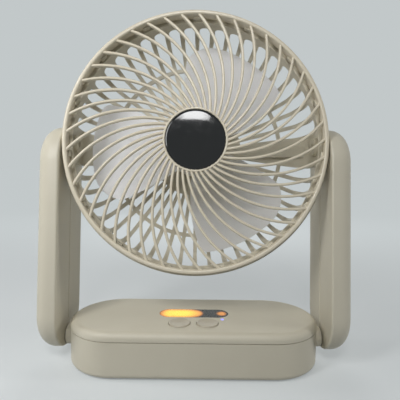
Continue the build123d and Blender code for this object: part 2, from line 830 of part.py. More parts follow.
# Rear cover: drum, rear grille, motor seat and cable duct in one moulding
with BuildPart(head_plane) as rear_cover:
    with BuildSketch(head_section):
        with BuildLine():
            shoulder_z = rear_outer + shoulder_radius
            shoulder_r = drum_radius - shoulder_radius
            outside = Polyline(
                (drum_inner, rim_front),
                (rim_radius, rim_front),
                (rim_radius, rim_back),
                (drum_radius, rim_back - rim_taper),
                (drum_radius, shoulder_z),
            )
            outer_round = CenterArc((shoulder_r, shoulder_z), shoulder_radius, 0, -90)
            back = Polyline(outer_round @ 1, (0, rear_outer), (0, rear_inner), (shoulder_r, rear_inner))
            inner_round = CenterArc((shoulder_r, shoulder_z), shoulder_radius - drum_wall, -90, 90)
            Line(inner_round @ 1, outside @ 0)
        make_face()
    revolve(axis=fan_axis)
    with BuildSketch(head_level(rim_back - rim_taper)):
        for side in (-1, 1):
            with Locations((side * (hinge_face + rim_radius), 0)):
                Rectangle(2 * rim_radius, rim_flat_height)
    extrude(amount=rim_depth + rim_taper, mode=Mode.SUBTRACT)
    with Locations(*[Location((0, 0, 0), (0, 0, a)) for a in outer_angles]):
        add(outer_slot.part, mode=Mode.SUBTRACT)
    with BuildSketch(head_level(rear_outer)):
        with Locations(*[Location((0, 0, 0), (0, 0, a)) for a in inner_angles]):
            add(inner_slot.sketch)
    extrude(amount=drum_wall, mode=Mode.SUBTRACT)
    for side in (-1, 1):
        with BuildSketch(Plane.YZ.offset(side * head_boss_inner)):
            with Locations((0, head_height)):
                Circle(hinge_boss_radius)
        extrude(amount=side * (hinge_face - head_boss_inner))
    with BuildSketch(Plane.YZ.offset(-hinge_face)):
        with Locations((0, head_height)):
            Circle(axle_radius + seat_fit)
    extrude(amount=2 * hinge_face, mode=Mode.SUBTRACT)
    with BuildSketch(head_level(rear_inner)):
        with Locations(((duct_start + drum_inner) / 2, 0)):
            Rectangle(drum_inner - duct_start, duct_width)
    extrude(amount=duct_height)
    with BuildSketch(head_level(rear_inner)):
        with Locations(((duct_start + drum_inner) / 2, 0)):
            Rectangle(drum_inner - duct_start, duct_width - 2 * duct_wall)
    extrude(amount=duct_height - duct_wall, mode=Mode.SUBTRACT)
    with BuildSketch(head_level(rear_inner)):
        Circle(stator_hub_radius)
    extrude(amount=stator_back - rear_inner)
    with BuildSketch(head_level(rear_inner)):
        Circle(tube_radius)
    extrude(amount=tube_front - rear_inner)
    with BuildSketch(head_level(rear_inner)):
        with PolarLocations(driver_post_circle, driver_post_count):
            Circle(driver_post_radius)
    extrude(amount=driver_back - rear_inner)
    with BuildSketch(head_level(bore_bottom)):
        Circle(bearing_radius + seat_fit)
    extrude(amount=tube_front - bore_bottom, mode=Mode.SUBTRACT)
arm_pieces["rear_cover"] = rear_cover

# Bearings at both ends of the tube
with BuildPart() as bearings:
    for start in (bore_bottom, tube_front - bearing_width):
        with BuildSketch(head_level(start)):
            Circle(bearing_radius)
            Circle(shaft_radius + running_fit, mode=Mode.SUBTRACT)
        extrude(amount=bearing_width)
arm_pieces["bearings"] = bearings

# Stator: teeth with wide shoes round the tube
with BuildPart() as stator_core:
    with BuildSketch(head_level(stator_back)):
        Circle(stator_hub_radius)
        with PolarLocations(stator_radius / 2, tooth_count):
            Rectangle(stator_radius, tooth_width)
        with BuildSketch(mode=Mode.PRIVATE) as shoe:
            shoe_circle = stator_radius - shoe_depth / 2
            SlotArc(CenterArc((0, 0), shoe_circle, -shoe_angle / 2, shoe_angle), shoe_depth)
        with PolarLocations(0, tooth_count):
            add(shoe.sketch)
        Circle(stator_radius, mode=Mode.INTERSECT)
        Circle(tube_radius + seat_fit, mode=Mode.SUBTRACT)
    extrude(amount=stator_thickness)
arm_pieces["stator_core"] = stator_core

# Copper coils, one wound round each tooth
coil_half_width = tooth_width / 2 + coil_thickness
coil_inner = stator_hub_radius + coil_gap + coil_thickness
coil_outer = sqrt((stator_radius - shoe_depth - coil_gap) ** 2 - coil_half_width**2)
with BuildPart() as stator_coils:
    with BuildSketch(head_level(stator_back - coil_height)):
        with PolarLocations((coil_inner + coil_outer) / 2, tooth_count):
            Rectangle(coil_outer - coil_inner, 2 * coil_half_width)
    extrude(amount=stator_thickness + 2 * coil_height)
    with BuildSketch(head_level(stator_back - coil_gap)):
        with PolarLocations((coil_inner + coil_outer) / 2, tooth_count):
            Rectangle(coil_outer - coil_inner, tooth_width + 2 * coil_gap)
    extrude(amount=stator_thickness + 2 * coil_gap, mode=Mode.SUBTRACT)
arm_pieces["stator_coils"] = stator_coils

# Motor driver board behind the stator
with BuildPart() as driver_board:
    with BuildSketch(head_level(driver_back)):
        Circle(driver_radius)
        Circle(stator_hub_radius + slip_fit, mode=Mode.SUBTRACT)
    extrude(amount=driver_thickness)
arm_pieces["driver_board"] = driver_board

# Shaft through both bearings
with BuildPart() as motor_shaft:
    with BuildSketch(head_level(bore_bottom + body_gap)):
        Circle(shaft_radius)
    extrude(amount=hub_floor - bore_bottom - body_gap)
arm_pieces["motor_shaft"] = motor_shaft

# Steel cup that carries the magnets
with BuildPart() as rotor_yoke:
    with BuildSketch(head_level(hub_floor - yoke_length)):
        Circle(yoke_outer)
    extrude(amount=yoke_length)
    with BuildSketch(head_level(hub_floor - yoke_length)):
        Circle(yoke_outer - yoke_thickness)
    extrude(amount=yoke_length - yoke_thickness, mode=Mode.SUBTRACT)
    with BuildSketch(head_level(hub_floor)):
        Circle(shaft_boss_radius + slip_fit)
    extrude(amount=-yoke_thickness, mode=Mode.SUBTRACT)
arm_pieces["rotor_yoke"] = rotor_yoke

with BuildPart() as magnet_ring:
    with BuildSketch(head_level((stator_front + stator_back - magnet_length) / 2)):
        Circle(magnet_outer)
        Circle(magnet_inner, mode=Mode.SUBTRACT)
    extrude(amount=magnet_length)
arm_pieces["magnet_ring"] = magnet_ring

# Impeller blade in plan, from its root on the hub to its rounded tip
blade_root = impeller_hub_radius - impeller_hub_wall / 2


def blade_point(share, angle):
    """Point of the blade's outline at a share of the tip's radius."""
    return polar(share * blade_radius, angle)


with BuildSketch() as blade_plan:
    with BuildLine():
        trail_root = polar(blade_root, trail_root_angle)
        lead_root = polar(blade_root, lead_root_angle)
        tip_start = polar(blade_radius, tip_start_angle)
        tip_end = polar(blade_radius, tip_end_angle)
        ThreePointArc(trail_root, blade_point(*trail_bow), blade_point(*trail_corner))
        ThreePointArc(blade_point(*trail_corner), blade_point(*trail_round), tip_start)
        ThreePointArc(tip_start, polar(blade_radius, (tip_start_angle + tip_end_angle) / 2), tip_end)
        ThreePointArc(tip_end, blade_point(*lead_round), blade_point(*lead_corner))
        ThreePointArc(blade_point(*lead_corner), blade_point(*lead_bow), lead_root)
        ThreePointArc(lead_root, polar(blade_root, (lead_root_angle + trail_root_angle) / 2), trail_root)
    make_face()

# Blade body: a cambered sheet, steep at the root and flatter at the tip, cut to the plan
blade_middle = (blade_front + blade_rear) / 2
blade_rise = blade_front - blade_rear - blade_thickness
with BuildPart() as blade:
    for reach, half_chord, half_rise in (
        (blade_root / 2, blade_root_half_chord, blade_rise / 2),
        (blade_radius + blade_overrun, blade_tip_half_chord, blade_tip_pitch * blade_rise / 2),
    ):
        with BuildSketch(Plane.YZ.offset(reach)):
            with BuildLine():
                low = blade_middle - blade_thickness / 2
                pressure = ThreePointArc(
                    (-half_chord, low - half_rise),
                    (0, low - blade_camber),
                    (half_chord, low + half_rise),
                )
                suction = ThreePointArc(
                    (half_chord, low + half_rise + blade_thickness),
                    (0, low - blade_camber + blade_thickness),
                    (-half_chord, low - half_rise + blade_thickness),
                )
                Line(pressure @ 1, suction @ 0)
                Line(suction @ 1, pressure @ 0)
            make_face()
    loft(ruled=True)
    with BuildSketch(Plane.XY.offset(blade_rear - blade_camber)):
        add(blade_plan.sketch)
    extrude(amount=blade_front - blade_rear + 2 * blade_camber, mode=Mode.INTERSECT)

# Impeller: hub cup with three blades
with BuildPart(head_plane) as impeller:
    with BuildSketch(head_level(blade_rear)):
        Circle(impeller_hub_radius)
    extrude(amount=impeller_hub_front - blade_rear)
    fillet(impeller.faces().sort_by(fan_axis)[-1].edges(), impeller_hub_round)
    with PolarLocations(0, blade_count, start_angle=blade_phase):
        add(blade.part)
    with BuildSketch(head_level(blade_rear - blade_camber)):
        Circle(hub_cup_radius)
    extrude(amount=hub_floor - blade_rear + blade_camber, mode=Mode.SUBTRACT)
    with BuildSketch(head_level(hub_floor - shaft_boss_length)):
        Circle(shaft_boss_radius)
    extrude(amount=shaft_boss_length)
    with BuildSketch(head_level(hub_floor)):
        Circle(shaft_radius + seat_fit)
    extrude(amount=-shaft_boss_length, mode=Mode.SUBTRACT)
arm_pieces["impeller"] = impeller

# The origin is under the middle of the outline, which runs from the base's front to the leaned head's back
leaned_tilt = radians(arm_lean + head_tilt)
rear_reach = (
    hinge_reach * sin(radians(arm_lean))
    + (head_rear - shoulder_radius) * cos(leaned_tilt)
    + (drum_radius - shoulder_radius) * sin(leaned_tilt)
    + shoulder_radius
)
centred = Location((0, (base_depth / 2 - rear_reach) / 2, 0))
leaned = centred * Location((0, 0, hinge_height), (-arm_lean, 0, 0)) * Location((0, 0, -hinge_height))

os.makedirs("parts", exist_ok=True)
for group, place in ((base_pieces, centred), (arm_pieces, leaned)):
    for name, piece in group.items():
        piece.part.move(place)
        piece.part.label = name
        export_step(piece.part, f"parts/{name}.step")
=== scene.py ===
"""Studio scene of a folding desk fan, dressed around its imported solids."""

import json
import logging
import math
from dataclasses import dataclass
from enum import Enum
from typing import Any, Callable

import bmesh
import bpy
from mathutils import Matrix, Vector


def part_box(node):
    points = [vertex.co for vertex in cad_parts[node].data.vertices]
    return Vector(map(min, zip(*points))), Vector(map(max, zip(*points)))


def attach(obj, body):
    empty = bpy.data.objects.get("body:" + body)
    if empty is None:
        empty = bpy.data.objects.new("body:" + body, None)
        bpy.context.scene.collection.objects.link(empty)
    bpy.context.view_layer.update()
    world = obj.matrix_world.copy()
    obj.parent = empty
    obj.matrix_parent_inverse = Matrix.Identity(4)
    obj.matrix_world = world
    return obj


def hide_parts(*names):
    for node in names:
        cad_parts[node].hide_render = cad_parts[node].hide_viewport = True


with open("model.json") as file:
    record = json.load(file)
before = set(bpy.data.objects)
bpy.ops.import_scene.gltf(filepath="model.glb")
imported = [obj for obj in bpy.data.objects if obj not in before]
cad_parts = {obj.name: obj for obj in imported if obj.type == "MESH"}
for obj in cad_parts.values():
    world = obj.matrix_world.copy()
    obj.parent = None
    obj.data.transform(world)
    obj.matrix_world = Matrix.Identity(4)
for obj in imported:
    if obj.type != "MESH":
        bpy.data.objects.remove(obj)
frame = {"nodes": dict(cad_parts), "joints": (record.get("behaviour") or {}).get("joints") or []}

LOG = logging.getLogger("desk_fan")
MM = 0.001
WELD = 1e-6
Colour = tuple[float, float, float, float]
BLACK: Colour = (0.0, 0.0, 0.0, 1.0)
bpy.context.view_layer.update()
JOINTS = {joint["name"]: joint for joint in frame["joints"]}
HEAD_HINGE = Vector(JOINTS["head_tilt"]["pos_m"])


def middle_of(node: str) -> Vector:
    """Middle of a solid's box at rest."""
    low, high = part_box(node)
    return (low + high) / 2


def linked(name: str, data: bpy.types.ID) -> bpy.types.Object:
    """Adds an object to the scene, at the origin.

    Args:
        name: the object's name.
        data: its mesh, lamp or camera.

    Returns:
        The object.
    """
    made = bpy.data.objects.new(name, data)
    bpy.context.scene.collection.objects.link(made)
    return made


def colour_of(code: str) -> Colour:
    """Linear colour of a screen colour.

    Args:
        code: six hexadecimal digits, red first.

    Returns:
        The linear red, green and blue with full alpha.
    """
    shares = [int(code[i : i + 2], 16) / 255 for i in (0, 2, 4)]
    linear = [s / 12.92 if s <= 0.04045 else ((s + 0.055) / 1.055) ** 2.4 for s in shares]
    return (linear[0], linear[1], linear[2], 1.0)


def math_method(operation: str, swapped: bool = False) -> Callable[..., "Value"]:
    """Makes a method that adds one Math node.

    Args:
        operation: what the node works out.
        swapped: whether the other operand comes first.

    Returns:
        The method, with the other operand as its argument where it has one.
    """

    def method(value: "Value", other: Any = 0.0) -> "Value":
        """Works the operation out for a value."""
        operands = (other, value) if swapped else (value, other)
        return value.graph.node("ShaderNodeMath", {"operation": operation}, dict(enumerate(operands)))

    return method


class Value:
    """A node's output that takes part in Python sums."""

    __add__ = __radd__ = math_method("ADD")
    __sub__ = math_method("SUBTRACT")
    __rsub__ = math_method("SUBTRACT", True)
    __mul__ = __rmul__ = math_method("MULTIPLY")
    __truediv__ = math_method("DIVIDE")
    __pow__ = math_method("POWER")
    __abs__ = math_method("ABSOLUTE")
    least = math_method("MAXIMUM")
    sine = math_method("SINE")
    cosine = math_method("COSINE")

    def __init__(self, graph: "Graph", socket: bpy.types.NodeSocket) -> None:
        """Wraps one output socket of a graph."""
        self.graph = graph
        self.socket = socket

    def out(self, name: str) -> "Value":
        """Another output of the same node."""
        return Value(self.graph, self.socket.node.outputs[name])

    def ramp(self, low: float, high: float) -> "Value":
        """Smooth step from 0 at low to 1 at high, or the other way round where high is the smaller."""
        inputs = {0: self, 1: low, 2: high, 3: 0.0, 4: 1.0}
        return self.graph.node("ShaderNodeMapRange", {"interpolation_type": "SMOOTHSTEP"}, inputs)


class Graph:
    """A node tree that is filled through one method."""

    def __init__(self, tree: bpy.types.NodeTree) -> None:
        """Starts from an empty tree."""
        self.tree = tree
        tree.nodes.clear()

    def node(
        self,
        kind: str,
        settings: dict[str, Any] | None = None,
        inputs: dict[int | str, Any] | None = None,
        output: int | str = 0,
    ) -> Value:
        """Adds one node.

        Args:
            kind: the node's type.
            settings: properties, set first.
            inputs: values or links by socket name or number.
            output: the output that is returned.

        Returns:
            The chosen output, or the first input of a node that has none.
        """
        made = self.tree.nodes.new(kind)
        for key, setting in (settings or {}).items():
            setattr(made, key, setting)
        for key, value in (inputs or {}).items():
            self.feed(made.inputs[key], value)
        return Value(self, made.outputs[output]) if made.outputs else Value(self, made.inputs[0])

    def feed(self, socket: bpy.types.NodeSocket, value: Any) -> None:
        """Links or sets an input.

        Args:
            socket: the input.
            value: a Value to link, a list of them for a joining socket, or a constant.
        """
        if isinstance(value, Value):
            self.tree.links.new(value.socket, socket)
        elif isinstance(value, list):
            for item in value:
                self.tree.links.new(item.socket, socket)
        else:
            socket.default_value = value

    def seen(self) -> Value:
        """1 for a ray that shows the surface, directly, mirrored or through glass, and else 0."""
        path = self.node("ShaderNodeLightPath")
        return path + path.out("Is Glossy Ray") + path.out("Is Transmission Ray")


class Surface(Graph):
    """A material under construction: a principled shader and what feeds it."""

    def __init__(self, name: str) -> None:
        """Makes the material with its shader and output."""
        self.material = bpy.data.materials.new(name)
        self.material.use_nodes = True
        super().__init__(self.material.node_tree)
        self.shader = self.node("ShaderNodeBsdfPrincipled").socket.node
        self.node("ShaderNodeOutputMaterial", None, {"Surface": Value(self, self.shader.outputs[0])})
        self.place = self.node("ShaderNodeTexCoord", None, None, "Object")

    def set(self, socket: str, value: Any) -> None:
        """Sets or links one input of the shader."""
        self.feed(self.shader.inputs[socket], value)

    def noise(self, size: float, detail: float = 2.0) -> Value:
        """Noise between 0 and 1.

        Args:
            size: size of its grains in metres.
            detail: octaves of finer noise.

        Returns:
            The noise value.
        """
        inputs = {"Vector": self.place, "Scale": 1 / size, "Detail": detail}
        return self.node("ShaderNodeTexNoise", None, inputs)

    def blend(self, share: Any, first: Any, second: Any) -> Value:
        """Mix of two colours, with share of the second."""
        return self.node("ShaderNodeMix", {"data_type": "RGBA"}, {0: share, 6: first, 7: second}, 2)

    def paint(self, share: Value, first: str, second: str) -> None:
        """Sets the base colour to a mix of two screen colours, with share of the second."""
        self.set("Base Color", self.blend(share, colour_of(first), colour_of(second)))

    def glow(self, colour: Value, strength: float = 1.0) -> None:
        """Lets the surface give off light."""
        self.set("Emission Color", colour)
        self.set("Emission Strength", strength)

    def bump(self, height: Value, depth: float) -> None:
        """Raises the surface by a height between 0 and 1 times a depth in metres."""
        inputs = {"Distance": depth, "Height": height}
        self.set("Normal", self.node("ShaderNodeBump", None, inputs, "Normal"))

    def split(self) -> tuple[Value, Value, Value]:
        """The object's X, Y and Z at each point, in metres."""
        x = self.node("ShaderNodeSeparateXYZ", None, {0: self.place})
        return x, x.out("Y"), x.out("Z")


@dataclass(frozen=True)
class Coating:
    """What all finishes share.

    Attributes:
        name: material name.
        colour: screen colour.
    """

    name: str
    colour: str

    def make(self) -> bpy.types.Material:
        """Builds the material.

        Returns:
            The material.
        """
        surface = Surface(self.name)
        self.lay(surface)
        return surface.material

    def lay(self, surface: Surface) -> None:
        """Feeds the material's shader."""
        raise NotImplementedError(self.name)


@dataclass(frozen=True)
class MouldedPlastic(Coating):
    """Moulded plastic with a fine spark-eroded grain.

    Attributes:
        shade: screen colour of its darker mottling.
        roughness: mean roughness.
        grain: size of the grain in metres.
        depth: depth of the grain in metres.
    """

    shade: str
    roughness: float
    grain: float = 0.45 * MM
    depth: float = 0.02 * MM

    def lay(self, surface: Surface) -> None:
        """Feeds the material's shader."""
        fine = surface.noise(self.grain, 3.0)
        broad = surface.noise(38 * MM, 3.0)
        flow = surface.noise(9 * MM, 2.0)
        mottling = (broad - 0.35).least(0.0) * 0.55 + (fine - 0.5) * 0.22
        surface.paint(mottling, self.colour, self.shade)
        surface.set("Roughness", self.roughness + (fine - 0.5) * 0.16 + (flow - 0.5) * 0.12)
        surface.bump(fine, self.depth)


@dataclass(frozen=True)
class PolishedPlastic(Coating):
    """Polished plastic with a lacquered face and faint handling marks.

    Attributes:
        smear: screen colour of the marks.
        roughness: roughness between the marks.
        coat: weight of the lacquer.
    """

    smear: str
    roughness: float
    coat: float

    def lay(self, surface: Surface) -> None:
        """Feeds the material's shader."""
        marks = surface.noise(6 * MM, 4.0).ramp(0.45, 0.75)
        surface.paint(marks * 0.25, self.colour, self.smear)
        surface.set("Roughness", self.roughness + marks * 0.06)
        surface.set("Coat Weight", self.coat)
        surface.set("Coat Roughness", 0.03)
        surface.bump(surface.noise(14 * MM, 1.0), 0.015 * MM)


@dataclass(frozen=True)
class PlatedMetal(Coating):
    """Machined metal with a fine drawn texture.

    Attributes:
        tarnish: screen colour of its dull patches.
        roughness: mean roughness.
        metallic: share of metal.
    """

    tarnish: str
    roughness: float = 0.34
    metallic: float = 1.0

    def lay(self, surface: Surface) -> None:
        """Feeds the material's shader."""
        lines = surface.noise(0.25 * MM, 1.0)
        cloud = surface.noise(4 * MM, 3.0).ramp(0.4, 0.8)
        surface.paint(cloud * 0.5, self.colour, self.tarnish)
        surface.set("Metallic", self.metallic)
        surface.set("Roughness", self.roughness + (lines - 0.5) * 0.2)
        surface.bump(lines, 0.008 * MM)


@dataclass(frozen=True)
class CircuitBoard(Coating):
    """Solder resist over copper tracks.

    Attributes:
        track: screen colour over the tracks.
    """

    track: str

    def lay(self, surface: Surface) -> None:
        """Feeds the material's shader."""
        cells = surface.node(
            "ShaderNodeTexVoronoi",
            {"feature": "DISTANCE_TO_EDGE", "distance": "EUCLIDEAN"},
            {"Vector": surface.place, "Scale": 1 / (4 * MM)},
            "Distance",
        )
        tracks = cells.ramp(0.06, 0.03)
        surface.paint(tracks * 0.7, self.colour, self.track)
        surface.set("Roughness", 0.3 + surface.noise(0.6 * MM) * 0.2)
        surface.bump(tracks, 0.03 * MM)


@dataclass(frozen=True)
class LitBar:
    """One lit patch of the display, along X.

    Attributes:
        middle: its middle along X from the window's middle.
        half_length: half its length.
        half_width: half its width left of the middle.
        taper: share of the width that is lost between the middle and the right end.
        power: brightness from 0 to 1.
        fade: share of the brightness that is lost between the middle and the right end.
    """

    middle: float
    half_length: float
    half_width: float
    taper: float
    power: float
    fade: float


@dataclass(frozen=True)
class LitWindow(Coating):
    """Smoked window over an amber display.

    Attributes:
        glint: screen colour of its painted glints, faint lighter streaks.
        glow: screen colours of the light from its dimmest to its brightest.
        bars: the lit patches.
        halo: how far the light spills past a patch's outline, squared, with 1 at the outline.
    """

    glint: str
    glow: tuple[str, ...]
    bars: tuple[LitBar, ...]
    halo: float = 1.1

    def lit(self, surface: Surface, bar: LitBar) -> Value:
        """Brightness of one lit patch at each point.

        Args:
            surface: the window's material.
            bar: the lit patch.

        Returns:
            The brightness from 0 to 1.
        """
        window = middle_of("display_window")
        x, y, _ = surface.split()
        along = x - (window.x + bar.middle)
        across = y - window.y
        right = along.ramp(0.0, bar.half_length)
        width = bar.half_width * (1.0 - right * bar.taper)
        past = (abs(along) - (bar.half_length - bar.half_width)).least(0.0)
        distance = (past * past + across * across) / (width * width)
        return distance.ramp(self.halo, 0.0) * bar.power * (1.0 - right * bar.fade)

    def lay(self, surface: Surface) -> None:
        """Feeds the material's shader."""
        light: Any = 0.0
        for bar in self.bars:
            light = self.lit(surface, bar) + light
        flicker = 0.9 + surface.noise(6 * MM, 2.0) * 0.2
        colours = surface.node("ShaderNodeValToRGB", None, {"Fac": light * flicker})
        stops = colours.socket.node.color_ramp.elements
        for i, code in enumerate(self.glow[:-1], start=1):
            stops.new(i / len(self.glow)).color = colour_of(code)
        stops[-1].color = colour_of(self.glow[-1])
        # Painted glints: faint lighter streaks mixed at random into the smoke colour.
        surface.paint(surface.noise(3 * MM) * 0.3, self.colour, self.glint)
        surface.set("Roughness", 0.22 + surface.noise(1.5 * MM) * 0.1)
        surface.glow(colours)
        surface.bump(surface.noise(0.5 * MM), 0.006 * MM)


@dataclass(frozen=True)
class LightPipe(Coating):
    """Clear light pipe, lit from below.

    Attributes:
        dim: linear colour of its dimmer spots.
        power: strength of its light.
    """

    dim: Colour = (0.02, 0.05, 0.3, 1.0)
    power: float = 1.6

    def lay(self, surface: Surface) -> None:
        """Feeds the material's shader."""
        shine = surface.noise(0.8 * MM, 1.0) * 0.5 + 0.5
        surface.set("Base Color", colour_of(self.colour))
        surface.set("Roughness", 0.2 + surface.noise(0.4 * MM) * 0.1)
        surface.glow(surface.blend(shine, self.dim, colour_of(self.colour)), self.power)


class Finish(Enum):
    """The finishes of the fan's pieces."""

    CREAM = MouldedPlastic("cream_plastic", "CDC7B5", "BAB29E", 0.46)
    # Painted light: the grille is the same cream plastic as the rest, painted lighter so that its ribs
    # carry the brightness of their lit fronts.
    GRILLE_PAINTED_LIGHTER = MouldedPlastic("grille_plastic_painted_lighter", "DAD1BC", "C6BCA5", 0.24)
    BUTTON = MouldedPlastic("button_plastic", "BFB7A5", "A9A08D", 0.36, 0.3 * MM, 0.012 * MM)
    WHITE = MouldedPlastic("white_blade_plastic", "EFF0F3", "DBDDE1", 0.38, 0.35 * MM, 0.010 * MM)
    DARK = MouldedPlastic("dark_plastic", "2A2A2B", "1A1A1B", 0.5)
    WASHER = MouldedPlastic("washer_plastic", "8E887A", "736D60", 0.35)
    WRAP = MouldedPlastic("cell_wrap", "3F7FB0", "2D6390", 0.3)
    RUBBER = MouldedPlastic("foot_rubber", "353535", "232323", 0.75, 0.5 * MM, 0.05 * MM)
    GLOSS_BLACK = PolishedPlastic("gloss_black", "030304", "080809", 0.06, 0.15)
    DISPLAY = PolishedPlastic("display_face", "8A6A38", "6A4F28", 0.3, 0.8)
    STEEL = PlatedMetal("plated_steel", "B9BABC", "8C8B88")
    GILT = PlatedMetal("gilt_contact", "D8B25C", "B08A3E", 0.22)
    CORE = PlatedMetal("varnished_core", "6B6E72", "4B4D50", 0.45, 0.8)
    MAGNET = PlatedMetal("bonded_magnet", "3B3C3E", "2A2B2C", 0.6, 0.3)
    COPPER = PlatedMetal("enamelled_copper", "B8683A", "8A4622", 0.3)
    BOARD = CircuitBoard("circuit_board", "1E5A35", "3E8A55")
    WINDOW = LitWindow(
        "lit_window",
        "2A2A27",
        # Painted glint colour of the faint lighter streaks.
        "45433C",
        ("5A3618", "C87A2E", "F5A843", "FFE84E"),
        (
            LitBar(-7.6 * MM, 20.5 * MM, 11.5 * MM, 0.5, 1.0, 0.42),
            LitBar(21.6 * MM, 5.6 * MM, 5.4 * MM, 0.4, 0.6, 0.6),
        ),
    )
    LENS = LightPipe("blue_light", "8886FF")


class Wardrobe:
    """Keeps one material for each finish."""

    def __init__(self) -> None:
        """Starts empty."""
        self.made: dict[Finish, bpy.types.Material] = {}

    def material(self, finish: Finish) -> bpy.types.Material:
        """The material of a finish.

        Args:
            finish: the finish.

        Returns:
            Its material, made at its first use.
        """
        if finish not in self.made:
            self.made[finish] = finish.value.make()
        return self.made[finish]

    def dress(self, solids: dict[Finish, tuple[str, ...]]) -> None:
        """Gives every face of the named solids their finish.

        Args:
            solids: names of the solids by finish.
        """
        for finish, nodes in solids.items():
            for node in nodes:
                faces = frame["nodes"][node].data
                faces.materials.clear()
                faces.materials.append(self.material(finish))


